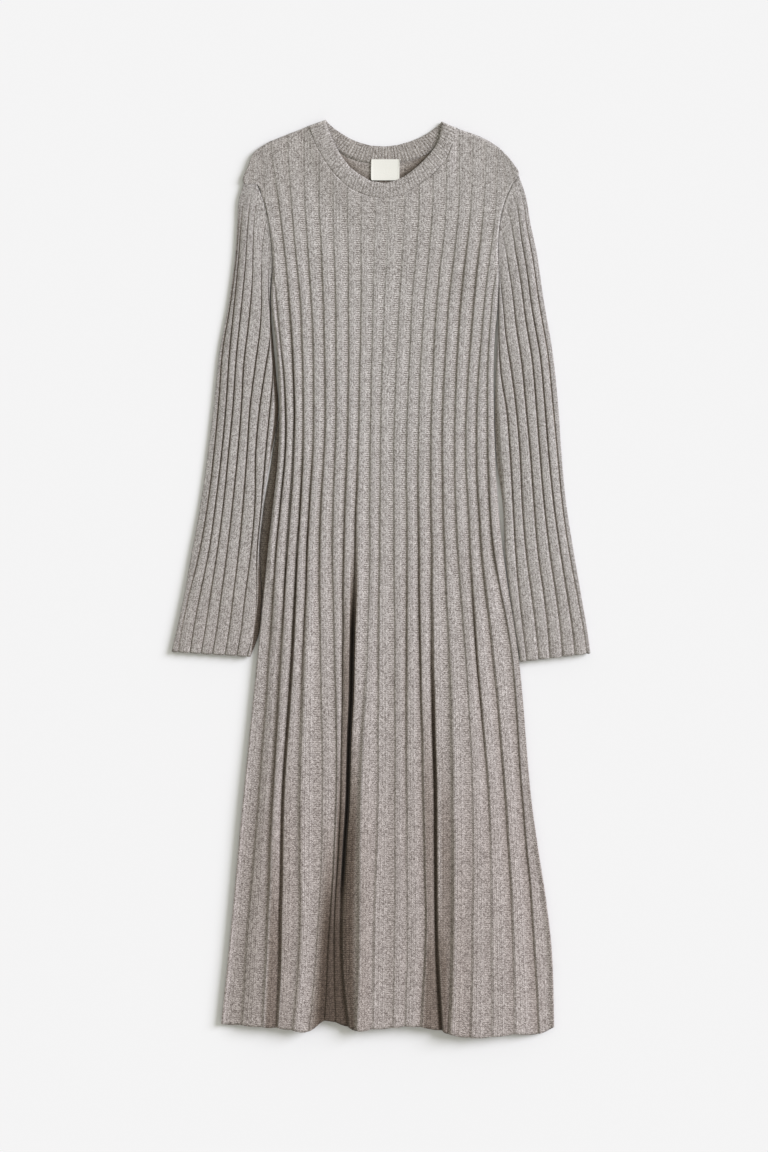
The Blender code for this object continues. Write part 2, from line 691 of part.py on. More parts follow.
def label():
    """Blank woven label: a thin plate with rounded corners, just above the back's inside."""
    corners = ((LABEL_ACROSS[1], LABEL_DOWN[1], 0), (LABEL_ACROSS[0], LABEL_DOWN[1], 90),
               (LABEL_ACROSS[0], LABEL_DOWN[0], 180), (LABEL_ACROSS[1], LABEL_DOWN[0], 270))
    middle = np.array([sum(LABEL_ACROSS) / 2.0, sum(LABEL_DOWN) / 2.0])
    outline = []
    for across, down, start in corners:
        corner = np.array([across, down])
        centre = corner + LABEL_CORNER * np.sign(middle - corner)
        for degrees in (0, 45, 90):
            angle = math.radians(start + degrees)
            outline.append(centre + LABEL_CORNER * np.array([math.cos(angle), math.sin(angle)]))
    points = [(*point, LABEL_UP) for point in outline]
    points += [(*point, LABEL_UP + LABEL_THICKNESS) for point in outline]
    count = len(outline)
    faces = [tuple(range(count)), tuple(range(2 * count - 1, count - 1, -1))]
    for k in range(count):
        m = (k + 1) % count
        faces.append((k, m, count + m, count + k))
    return points, faces


def centre_on_origin(pieces):
    """Move every mesh so that the middle of the outline's underside is the origin."""
    corners = np.array([vertex.co for piece in pieces for vertex in piece.data.vertices])
    low, high = corners.min(axis=0), corners.max(axis=0)
    shift = (-(low[0] + high[0]) / 2.0, -(low[1] + high[1]) / 2.0, -low[2])
    for piece in pieces:
        work = bmesh.new()
        work.from_mesh(piece.data)
        bmesh.ops.translate(work, verts=work.verts[:], vec=shift)
        work.to_mesh(piece.data)
        work.free()


def main():
    """Clear the scene and build the dress."""
    for old in list(bpy.data.objects):
        bpy.data.objects.remove(old, do_unlink=True)
    knit = make_material("wool_knit", (0.39, 0.345, 0.315), 0.95)
    woven = make_material("woven_label", (0.83, 0.83, 0.79), 0.7)

    front_points, front_faces, front_neck = front_panel()
    back_points, back_faces, back_neck = back_panel()
    armholes = {}
    for side in ("left", "right"):
        line = [(getattr(row, side + "_across"), getattr(row, side + "_down"))
                for row in YOKE_ROWS[ARMHOLE_FROM_ROW:]]
        armholes[side] = np.array(line)
    wearers_right = beside(armholes["left"], -SEAM_GAP)
    wearers_left = beside(armholes["right"], SEAM_GAP)

    pieces = [
        make_object("front_panel", front_points, front_faces, knit),
        make_object("back_panel", back_points, back_faces, knit),
        make_object("sleeve_right",
                    *sleeve(RIGHT_SLEEVE_ROWS, RIGHT_SLEEVE_GROOVES, wearers_right), knit),
        make_object("sleeve_left",
                    *sleeve(LEFT_SLEEVE_ROWS, LEFT_SLEEVE_GROOVES, wearers_left), knit),
        make_object("neckband",
                    *neckband(beside(front_neck, SEAM_GAP), beside(back_neck, SEAM_GAP)), knit),
        make_object("label", *label(), woven),
    ]
    centre_on_origin(pieces)


main()
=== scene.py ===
"""Dressed model of a ribbed wool sweater dress that lies on its back on a pale studio surface.

Places are in millimetres until a mesh is made: "across" runs from the middle of the neck towards
the wearer's left, "down" from the higher neck point to the hem, and "up" from the surface. Left
and right are as seen from above, with the neck at the top, unless they are the wearer's.
"""
import logging
import math
from collections.abc import Sequence
from dataclasses import dataclass, field
from enum import Enum
from typing import NamedTuple

import bpy
import bmesh
import numpy as np
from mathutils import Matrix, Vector


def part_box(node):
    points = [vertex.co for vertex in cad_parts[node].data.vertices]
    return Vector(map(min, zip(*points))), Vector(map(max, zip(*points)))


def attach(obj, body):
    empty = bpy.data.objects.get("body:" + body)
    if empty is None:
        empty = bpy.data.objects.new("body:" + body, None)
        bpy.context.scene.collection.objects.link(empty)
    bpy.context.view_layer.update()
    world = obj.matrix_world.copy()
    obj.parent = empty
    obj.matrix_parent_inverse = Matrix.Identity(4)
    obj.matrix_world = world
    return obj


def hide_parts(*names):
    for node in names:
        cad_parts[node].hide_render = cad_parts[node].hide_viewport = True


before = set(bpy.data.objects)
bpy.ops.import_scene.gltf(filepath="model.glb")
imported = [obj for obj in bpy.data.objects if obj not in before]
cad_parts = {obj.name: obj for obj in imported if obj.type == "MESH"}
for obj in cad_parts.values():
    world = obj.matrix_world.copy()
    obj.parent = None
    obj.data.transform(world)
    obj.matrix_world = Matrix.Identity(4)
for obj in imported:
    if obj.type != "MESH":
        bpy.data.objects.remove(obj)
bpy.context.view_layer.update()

LOG = logging.getLogger("sweater_dress")
MM = 0.001
TAU = 2.0 * math.pi

Array = np.ndarray
Material = bpy.types.Material
Node = bpy.types.Node
Piece = bpy.types.Object
Socket = bpy.types.NodeSocket
Tree = bpy.types.NodeTree

# ---- Cut of the dress, in millimetres ---------------------------------------------------------

SEAM_GAP = 0.3  # between the front's inside and the back's
BACK_WALL = 2.8
BACK_EDGE_UP = 1.4
FRONT_WALL = 2.4
FRONT_EDGE_WALL = 1.2
BODY_LOFT = 2.2  # how far the body's front stands off the back
SKIRT_LIFT = 7.5  # how much further the skirt's does, between two levels down
SKIRT_LIFT_FROM = 540.0
SKIRT_LIFT_FULL = 800.0
UNDERARM_DOWN = 197.0
LEFT_RIBS_DRAWN_IN = 1.3  # ribs that bend with the seam above the underarm, at each side
RIGHT_RIBS_DRAWN_IN = 2.0
HEM_WAVE_FROM = 980.0
HEM_DOWN = 1194.0
BACK_HEM_DOWN = 1184.0
LABEL_ACROSS = (-16.8, 20.8)
LABEL_DOWN = (52.1, 79.9)
LABEL_UP = 3.7
LINKING_SUNK = 0.25  # how far the neck seam's linking lies in the cloth

WALE = 3.3  # width of one stitch: fifteen stitches to five centimetres
COURSE = 2.9  # height of one stitch
WALES_PER_RIB = 5

# Levels down the body, and the place across it of its two edges and its nineteen grooves at each,
# from the wearer's right to the left.
LEVELS = (40, 106, 238, 410, 568, 700, 898, 1110, 1194)
GROOVES = (
    (-170, -174, -149, -138, -153, -166, -186, -206, -215),
    (-161, -157, -142, -129, -142, -151, -166, -184, -189),
    (-150, -140, -125, -118, -128, -135, -147, -156, -161),
    (-128, -123, -111, -106, -114, -120, -133, -138, -141),
    (-106, -105, -96, -93, -101, -106, -113, -114, -122),
    (-86, -86, -80, -78, -85, -84, -82, -91, -100),
    (-68, -68, -64, -64, -68, -65, -63, -74, -79),
    (-49, -49, -47, -48, -53, -54, -57, -66, -64),
    (-31, -31, -31, -34, -38, -41, -48, -56, -48),
    (-12, -12, -15, -18, -19, -22, -31, -33, -35),
    (6, 6, 0, -5, -6, -8, -9, -15, -15),
    (27, 27, 20, 13, 13, 14, 14, 13, 11),
    (46, 46, 37, 30, 30, 30, 29, 29, 27),
    (64, 64, 53, 45, 46, 48, 52, 54, 48),
    (82, 82, 70, 62, 63, 64, 68, 71, 77),
    (99, 99, 86, 77, 80, 85, 89, 88, 85),
    (117, 115, 102, 93, 97, 107, 116, 115, 113),
    (135, 132, 119, 108, 114, 122, 138, 142, 142),
    (151, 148, 133, 122, 129, 143, 160, 171, 172),
    (157, 165, 143, 137, 145, 168, 183, 200, 204),
    (163, 178, 151, 146, 157, 177, 195, 223, 225),
)
LAST_GROOVE = len(GROOVES) - 1
# How far the hem hangs below its level at each of them.
HEM_DROPS = (0, 1, 3, 4, 7, 9, -5, -3, 3, 8, 6, 4, 2, 3, 8, 12, 17, 16, 13, 13, 4)

# How strongly each groove is drawn in, from the shoulders to the hem, which also sets how much
# shade is painted in it.
CREASE_LEVELS = (60, 110, 200, 420, 560, 700, 850, 1020, 1194)
CREASES = (
    (0.0, 0.0, 0.3, 0.8, 0.8, 0.6, 0.4, 0.3, 0.2),
    (0.1, 0.45, 0.5, 1.6, 1.4, 0.9, 0.7, 0.7, 0.6),
    (0.3, 0.6, 0.75, 1.9, 2.1, 1.0, 1.3, 0.9, 0.4),
    (0.3, 0.55, 0.75, 1.0, 2.0, 1.1, 1.1, 0.9, 0.9),
    (0.35, 0.4, 0.7, 0.9, 1.7, 1.2, 0.5, 0.3, 0.1),
    (0.2, 0.35, 0.75, 0.9, 1.2, 0.7, 0.5, 0.3, 0.4),
    (0.15, 0.2, 0.6, 0.8, 0.8, 0.6, 0.7, 0.9, 0.6),
    (0.2, 0.3, 0.5, 0.9, 1.2, 1.3, 1.1, 0.8, 0.5),
    (0.1, 0.15, 0.4, 0.8, 1.6, 1.2, 1.2, 1.1, 0.6),
    (0.0, 0.1, 0.3, 0.5, 0.5, 0.3, 0.3, 0.2, 0.2),
    (0.0, 0.0, 0.3, 0.5, 0.7, 0.7, 0.4, 0.6, 0.3),
    (0.1, 0.1, 0.4, 0.5, 0.6, 0.5, 0.5, 0.3, 0.3),
    (0.1, 0.45, 0.4, 0.5, 0.8, 1.2, 0.8, 0.4, 0.4),
    (0.15, 0.45, 0.5, 0.5, 1.2, 1.6, 0.9, 1.0, 0.8),
    (0.25, 0.3, 0.65, 0.7, 1.0, 1.1, 1.2, 1.1, 0.9),
    (0.25, 0.35, 0.7, 0.8, 1.0, 0.5, 0.5, 0.8, 1.0),
    (0.2, 0.35, 1.0, 0.7, 0.8, 0.5, 0.5, 0.6, 0.8),
    (0.1, 0.35, 1.0, 0.7, 0.8, 1.7, 1.0, 0.4, 0.3),
    (0.0, 0.25, 0.5, 0.9, 1.1, 1.0, 1.1, 1.0, 0.5),
    (0.0, 0.0, 0.4, 0.8, 1.3, 0.7, 1.0, 1.1, 0.9),
    (0.0, 0.0, 0.2, 0.5, 0.5, 0.3, 0.2, 0.2, 0.0),
)
# How far the back's edge peeps out beside the front's on the wearer's right, at levels down: a
# strip of cloth with painted shade, put into the gap beside the waist that lies in shade.
BACK_PEEP = ((388.0, 412.0, 436.0, 470.0, 506.0, 540.0, 572.0, 600.0, 632.0, 650.0),
             (0.0, 4.4, 7.4, 9.8, 12.0, 12.2, 11.4, 7.6, 1.6, 0.0))


class Fold(NamedTuple):
    """A trough in the skirt, along a groove, with its reaches in ribs and its darkness.

    It begins at one level down, is full at another, and has died out at the one where it is gone.
    Its darkness is painted shade; a fold with no depth only paints shade.
    """
    groove: float
    start: float
    full: float
    depth: float
    left_reach: float
    right_reach: float
    shade: float = 0.0
    gone: float = 1500.0


FOLDS = tuple(Fold(*row) for row in (
    (3.0, 610, 800, 1.4, 1.0, 1.2),
    (3.0, 520, 680, 2.0, 0.28, 0.18, 0.70, 1250),
    (2.75, 880, 1120, 0.2, 0.8, 0.45, 0.62),
    (3.6, 760, 960, 0.0, 0.7, 0.9, 0.16),
    (1.2, 760, 960, 0.0, 1.3, 1.3, 0.08),
    (2.0, 560, 760, 1.0, 0.36, 0.16, 0.3, 1150),
    (8.0, 660, 980, 3.2, 3.6, 1.3),
    (8.0, 520, 680, 3.2, 0.55, 0.30, 0.98, 1150),
    (7.6, 560, 760, 0.4, 0.8, 0.5, 0.60),
    (7.9, 760, 960, 0.4, 2.3, 1.3, 0.80),
    (7.3, 880, 1080, 0.4, 3.1, 1.9, 0.85),
    (9.2, 780, 1060, 0.0, 0.9, 1.0, 0.20),
    (10.2, 640, 860, 1.4, 1.2, 1.0),
    (14.0, 620, 840, 2.2, 1.6, 1.3),
    (14.0, 580, 820, 2.2, 0.30, 0.18, 0.85),
    (13.8, 700, 940, 0.2, 1.1, 0.4, 0.46),
    (14.75, 780, 980, 0.2, 0.6, 0.3, 0.46),
    (14.0, 960, 1130, 0.2, 1.4, 1.2, 0.66),
    (15.4, 880, 1100, 0.0, 0.9, 0.9, 0.18),
    (15.7, 980, 1120, 0.2, 0.9, 0.3, 0.16),
    (17.2, 700, 950, 1.2, 1.3, 1.3),
))


class Pleat(NamedTuple):
    """A rib that stands over its left neighbour: a wall beside a groove, dying out to the right.

    Its offset from the groove, height, wall and tail are in millimetres. It begins at one level
    down and is full at another.
    """
    groove: int
    offset: float
    start: float
    full: float
    height: float
    wall: float
    tail: float


PLEATS = tuple(Pleat(*row) for row in (
    (2, 0.0, 560, 760, 1.0, 2.0, 8.0),
    (3, 0.5, 520, 700, 1.4, 2.5, 9.0),
    (4, 2.0, 560, 760, 2.0, 7.0, 9.0),
    (8, 2.0, 520, 700, 1.6, 2.0, 9.0),
    (9, -1.5, 620, 900, 3.4, 4.0, 16.0),
    (10, 0.0, 560, 720, 0.8, 5.0, 9.0),
    (13, 0.0, 500, 700, 0.8, 2.0, 7.0),
    (14, 1.0, 520, 700, 1.6, 3.0, 8.0),
    (15, 2.0, 600, 760, 2.0, 7.0, 10.0),
    (17, 0.0, 480, 640, 0.8, 2.0, 8.0),
    (18, 0.0, 480, 640, 1.0, 2.0, 8.0),
    (19, 0.0, 480, 640, 1.0, 2.0, 8.0),
))


class YokeRow(NamedTuple):
    """A row of the body above the underarm: its share of the way down to it, its two ends, and how
    much of the rounded edge it has.
    """
    share: float
    left_across: float
    left_down: float
    right_across: float
    right_down: float
    roll: float


YOKE_ROWS = tuple(YokeRow(*row) for row in (
    (0.00, -170.0, 41.6, 162.7, 46.9, 1.0),
    (0.04, -174.0, 47.5, 165.8, 50.6, 1.0),
    (0.13, -178.5, 58.7, 171.3, 58.1, 1.0),
    (0.27, -185.1, 83.8, 178.1, 73.0, 0.8),
    (0.36, -167.3, 85.8, 169.3, 86.5, 0.25),
    (0.47, -160.7, 102.3, 162.0, 102.3, 0.25),
    (0.58, -156.1, 116.8, 156.8, 118.1, 0.25),
    (0.70, -152.1, 135.3, 153.5, 135.3, 0.25),
    (0.84, -148.2, 163.0, 151.5, 160.4, 0.3),
    (1.00, -146.9, 196.0, 152.1, 197.3, 0.7),
))
ARMHOLE_FROM_ROW = 3  # the first row that ends on a sleeve's seam
BODY_ROWS_DOWN = (238, 290, 345, 400, 455, 510, 565, 615, 665, 715, 770, 830, 895, 960, 1030,
                  1100, 1160, 1194)
# Each shoulder's seam, across and down, from the wearer's right to the left.
LEFT_SHOULDER = ((-170.0, 41.6), (-163.4, 36.3), (-150.2, 28.4), (-137.0, 23.4), (-123.8, 17.8),
                 (-110.6, 13.0), (-98.7, 7.9))
RIGHT_SHOULDER = ((96.0, 10.6), (100.7, 12.8), (113.9, 17.0), (127.1, 22.0), (140.3, 28.6),
                  (153.5, 37.6), (162.7, 46.9))

# Each point of the neckband: across and down on its seam, then on its free edge.
NECK_FRONT = (
    (-98.7, 7.9, -76.9, 0.0), (-96.0, 17.8, -75.8, 5.3), (-89.4, 35.0, -72.9, 13.9),
    (-78.3, 54.1, -65.7, 30.4), (-67.7, 69.3, -55.8, 48.2), (-55.5, 81.8, -44.6, 62.7),
    (-41.0, 93.1, -32.7, 71.8), (-22.0, 101.0, -17.5, 80.8), (0.3, 104.3, 0.3, 83.8),
    (16.2, 101.8, 14.0, 80.8), (29.4, 96.6, 25.4, 75.8), (46.0, 86.4, 37.0, 68.0),
    (63.7, 73.0, 50.5, 56.1), (75.6, 61.4, 61.0, 44.9), (83.5, 50.8, 68.5, 35.0),
    (90.8, 33.0, 73.6, 23.1), (94.1, 20.0, 76.2, 10.5), (96.0, 10.6, 76.9, 2.6),
)
NECK_BACK = (
    (-98.7, 7.9, -76.9, 0.0), (-90.8, 15.2, -72.9, 4.6), (-77.6, 27.1, -65.0, 11.6),
    (-63.0, 39.6, -56.4, 17.5), (-51.2, 47.8, -44.6, 24.6), (-36.6, 54.1, -32.7, 29.6),
    (-18.2, 57.6, -16.8, 33.9), (1.7, 58.4, 1.7, 35.0), (21.5, 56.6, 18.8, 33.0),
    (42.6, 51.6, 34.7, 28.4), (61.1, 43.5, 47.9, 23.1), (74.3, 34.3, 61.1, 15.8),
    (86.1, 22.6, 70.3, 8.6), (96.0, 10.6, 76.9, 2.6),
)


class SleeveRow(NamedTuple):
    """A row of a sleeve: its outer and inner end, how much of the armhole's curve it keeps, and
    how wide its low edge is that lies in the shade beside the body.
    """
    outer_across: float
    outer_down: float
    inner_across: float
    inner_down: float
    bend: float
    # Shade is painted on the ledge, which fills the shaded gap beside the body.
    ledge: float


RIGHT_SLEEVE_ROWS = tuple(SleeveRow(*row) for row in (
    (-191.5, 106.3, -149.3, 215.8, 0.75, 1.5),
    (-193.7, 139.3, -149.8, 235.6, 0.48, 2.5),
    (-195.7, 172.3, -149.1, 258.1, 0.28, 3.3),
    (-204.3, 238.3, -146.0, 293.7, 0.10, 4.5),
    (-216.8, 304.3, -142.0, 338.6, 0.0, 4.5),
    (-224.1, 370.3, -139.2, 387.4, 0.0, 5.0),
    (-232.0, 436.3, -148.9, 442.9, 0.0, 1.5),
    (-241.2, 502.3, -159.0, 506.2, 0.0, 0.0),
    (-253.1, 568.3, -164.8, 572.2, 0.0, 0.5),
    (-265.0, 634.3, -161.2, 638.9, 0.0, 5.8),
    (-273.6, 673.9, -165.2, 679.1, 0.0, 6.6),
    (-280.2, 701.6, -175.5, 708.2, 0.0, 0.5),
))
LEFT_SLEEVE_ROWS = tuple(SleeveRow(*row) for row in (
    (187.8, 101.0, 152.2, 215.8, 0.75, 0.0),
    (193.7, 135.3, 151.7, 235.6, 0.48, 0.0),
    (201.6, 172.3, 151.2, 258.1, 0.28, 0.0),
    (211.5, 238.3, 149.6, 297.7, 0.10, 0.5),
    (222.8, 304.3, 147.7, 341.2, 0.0, 1.0),
    (230.0, 370.3, 146.7, 387.4, 0.0, 3.0),
    (234.6, 436.3, 148.6, 444.2, 0.0, 5.0),
    (240.6, 502.3, 157.0, 507.5, 0.0, 1.5),
    (250.6, 568.3, 160.5, 576.2, 0.0, 1.0),
    (262.0, 634.3, 168.8, 642.2, 0.0, 0.0),
    (268.8, 673.9, 175.0, 681.8, 0.0, 0.0),
    (272.9, 703.6, 180.2, 714.8, 0.0, 0.0),
))
# How strongly the sleeves' grooves are drawn in, at some of the rows, which also sets how much
# shade is painted in them.
SLEEVE_CREASES = ((0, 3, 4, 7, 8.5, 10, 12), (0.35, 0.8, 1.0, 1.05, 0.9, 0.6, 0.3))
# Rows of a sleeve, and the share of the way across it of each groove there.
SLEEVE_LEVELS = (0, 4, 5, 6, 7, 8, 9, 10, 12)
RIGHT_SLEEVE_GROOVES = (
    (0.02, 0.03, 0.050, 0.071, 0.096, 0.113, 0.113, 0.058, 0.08),
    (0.05, 0.10, 0.171, 0.188, 0.217, 0.237, 0.250, 0.196, 0.23),
    (0.09, 0.246, 0.292, 0.296, 0.325, 0.362, 0.375, 0.333, 0.37),
    (0.165, 0.429, 0.429, 0.425, 0.471, 0.508, 0.521, 0.471, 0.51),
    (0.45, 0.683, 0.625, 0.558, 0.617, 0.675, 0.692, 0.625, 0.67),
    (0.80, 0.92, 0.800, 0.704, 0.754, 0.863, 0.875, 0.775, 0.82),
    (0.98, 0.98, 0.938, 0.863, 0.912, 0.970, 0.970, 0.930, 0.95),
)
LEFT_SLEEVE_GROOVES = (
    (0.04, 0.09, 0.083, 0.083, 0.062, 0.062, 0.065, 0.054, 0.05),
    (0.14, 0.235, 0.217, 0.212, 0.200, 0.200, 0.195, 0.200, 0.22),
    (0.31, 0.38, 0.358, 0.346, 0.333, 0.350, 0.350, 0.358, 0.40),
    (0.56, 0.575, 0.537, 0.508, 0.479, 0.508, 0.521, 0.529, 0.58),
    (0.92, 0.80, 0.725, 0.662, 0.637, 0.692, 0.692, 0.700, 0.737),
    (0.98, 0.96, 0.904, 0.812, 0.787, 0.838, 0.846, 0.879, 0.908),
)


class WearerSide(Enum):
    """The side of the body that a sleeve is on."""
    RIGHT = "right"
    LEFT = "left"


# Painted shade on each sleeve: on its ledge, in its grooves and on its ribs' sides that face from
# the light, and how much darker it is near the cuff.
class SleeveShade(NamedTuple):
    """How dark a sleeve's ledge, grooves, and ribs' far sides are, and the whole near its cuff."""
    ledge: float
    groove: float
    far_side: float
    cuff: float


SLEEVE_SHADES = {WearerSide.RIGHT: SleeveShade(0.85, 0.95, 0.09, 0.07),
                 WearerSide.LEFT: SleeveShade(0.35, 0.80, 0.04, 0.0)}


class StitchFace(Enum):
    """The side of the knitting that a surface shows, as a share of purl stitches."""
    KNIT = 0.0
    PURL = 1.0


# ---- Curves and small sums --------------------------------------------------------------------


def ease(start: float, end: float, value: Array) -> Array:
    """Smooth step from 0 at start to 1 at end."""
    t = np.clip((np.asarray(value, float) - start) / (end - start), 0.0, 1.0)
    return t * t * (3.0 - 2.0 * t)


def round_over(distance: Array, reach: float) -> Array:
    """Height share of a quarter ellipse that rises over reach."""
    t = np.clip(np.asarray(distance, float) / reach, 0.0, 1.0)
    return np.sqrt(np.clip(1.0 - (1.0 - t) ** 2, 0.0, 1.0))


def bell(distance: Array, width: float) -> Array:
    """Bell curve, 1 at no distance and about a third at width."""
    return np.exp(-(distance / width) ** 2)


def smooth(knots: Array, values: Array, at: Array) -> Array:
    """Smooth curve through rows of values.

    Args:
        knots: Place of each row.
        values: The rows, with any number of further axes.
        at: Places to read.

    Returns:
        The rows at the places, shaped like at with the further axes behind.
    """
    knots = np.asarray(knots, float)
    values = np.asarray(values, float)
    slopes = np.gradient(values, knots, axis=0)
    at = np.clip(np.asarray(at, float), knots[0], knots[-1])
    i = np.clip(np.searchsorted(knots, at, side="right") - 1, 0, len(knots) - 2)
    further = (...,) + (None,) * (values.ndim - 1)
    span = (knots[i + 1] - knots[i])[further]
    t = (at - knots[i])[further] / span
    near = (1 + 2 * t) * (1 - t) ** 2 * values[i] + t * (1 - t) ** 2 * span * slopes[i]
    far = t * t * (3 - 2 * t) * values[i + 1] + t * t * (t - 1) * span * slopes[i + 1]
    return near + far


def lengths_along(line: Array) -> Array:
    """Distance of each point of a line from its start."""
    steps = np.linalg.norm(np.diff(line, axis=0), axis=-1)
    return np.concatenate([[0.0], np.cumsum(steps)])


def along(line: Array, distance: Array) -> Array:
    """Points at distances along a line of points."""
    lengths = lengths_along(line)
    return np.stack([np.interp(distance, lengths, line[:, k]) for k in range(line.shape[1])], -1)


def beside(line: Array, distance: float) -> Array:
    """The line moved sideways, with its corners mitred.

    Args:
        line: Its points, across and down.
        distance: How far it moves, to its right as it runs.

    Returns:
        The moved points.
    """
    steps = np.diff(line, axis=0)
    normals = np.stack([steps[:, 1], -steps[:, 0]], axis=1)
    normals /= np.linalg.norm(normals, axis=1)[:, None]
    before = np.vstack([normals[:1], normals])
    after = np.vstack([normals, normals[-1:]])
    mitre = before + after
    mitre /= np.sum(mitre * before, axis=1)[:, None]
    return line + distance * mitre


def unevenness(seed: int, shape: tuple[int, int], knots: tuple[int, int]) -> Array:
    """Soft random unevenness between about -1 and 1.

    Args:
        seed: Seed of the draw.
        shape: Rows and columns to fill.
        knots: How many random values there are down and across.

    Returns:
        An array of the given shape.
    """
    table = np.random.default_rng(seed).uniform(-1.0, 1.0, knots)
    rows = smooth(np.linspace(0, 1, knots[0]), table, np.linspace(0, 1, shape[0]))
    return smooth(np.linspace(0, 1, knots[1]), rows.T, np.linspace(0, 1, shape[1])).T


def linear_colour(code: str) -> tuple[float, float, float, float]:
    """Turn an sRGB hex code to a linear colour.

    Args:
        code: The code, such as "#d9d5d1".

    Returns:
        Red, green, blue and a full alpha.
    """
    values = [int(code[k:k + 2], 16) / 255.0 for k in (1, 3, 5)]
    values = [v / 12.92 if v <= 0.04045 else ((v + 0.055) / 1.055) ** 2.4 for v in values]
    return (*values, 1.0)


# ---- Finishes ---------------------------------------------------------------------------------

MATH = "ShaderNodeMath"
MIX = "ShaderNodeMix"
NOISE = "ShaderNodeTexNoise"
SHADER = "ShaderNodeBsdfPrincipled"


def add_node(tree: Tree, kind: str, inputs: dict | tuple = (), **settings: object) -> Node:
    """Add one node with its settings and what goes into its sockets.

    Args:
        tree: The tree that the node goes into.
        kind: The node's type name.
        inputs: What goes into each socket, by its name or number or in their order: a value, a
            socket, or a node whose first socket is meant.
        **settings: Values of the node's own properties.

    Returns:
        The node.
    """
    node = tree.nodes.new(kind)
    for name, value in settings.items():
        setattr(node, name, value)
    for name, value in inputs.items() if isinstance(inputs, dict) else enumerate(inputs):
        value = value.outputs[0] if isinstance(value, Node) else value
        if isinstance(value, Socket):
            tree.links.new(value, node.inputs[name])
        else:
            node.inputs[name].default_value = value
    return node


def new_material(name: str) -> tuple[Material, Tree]:
    """Start a material.

    Args:
        name: Its name.

    Returns:
        The material and its empty tree.
    """
    material = bpy.data.materials.new(name)
    material.use_nodes = True
    material.node_tree.nodes.clear()
    return material, material.node_tree


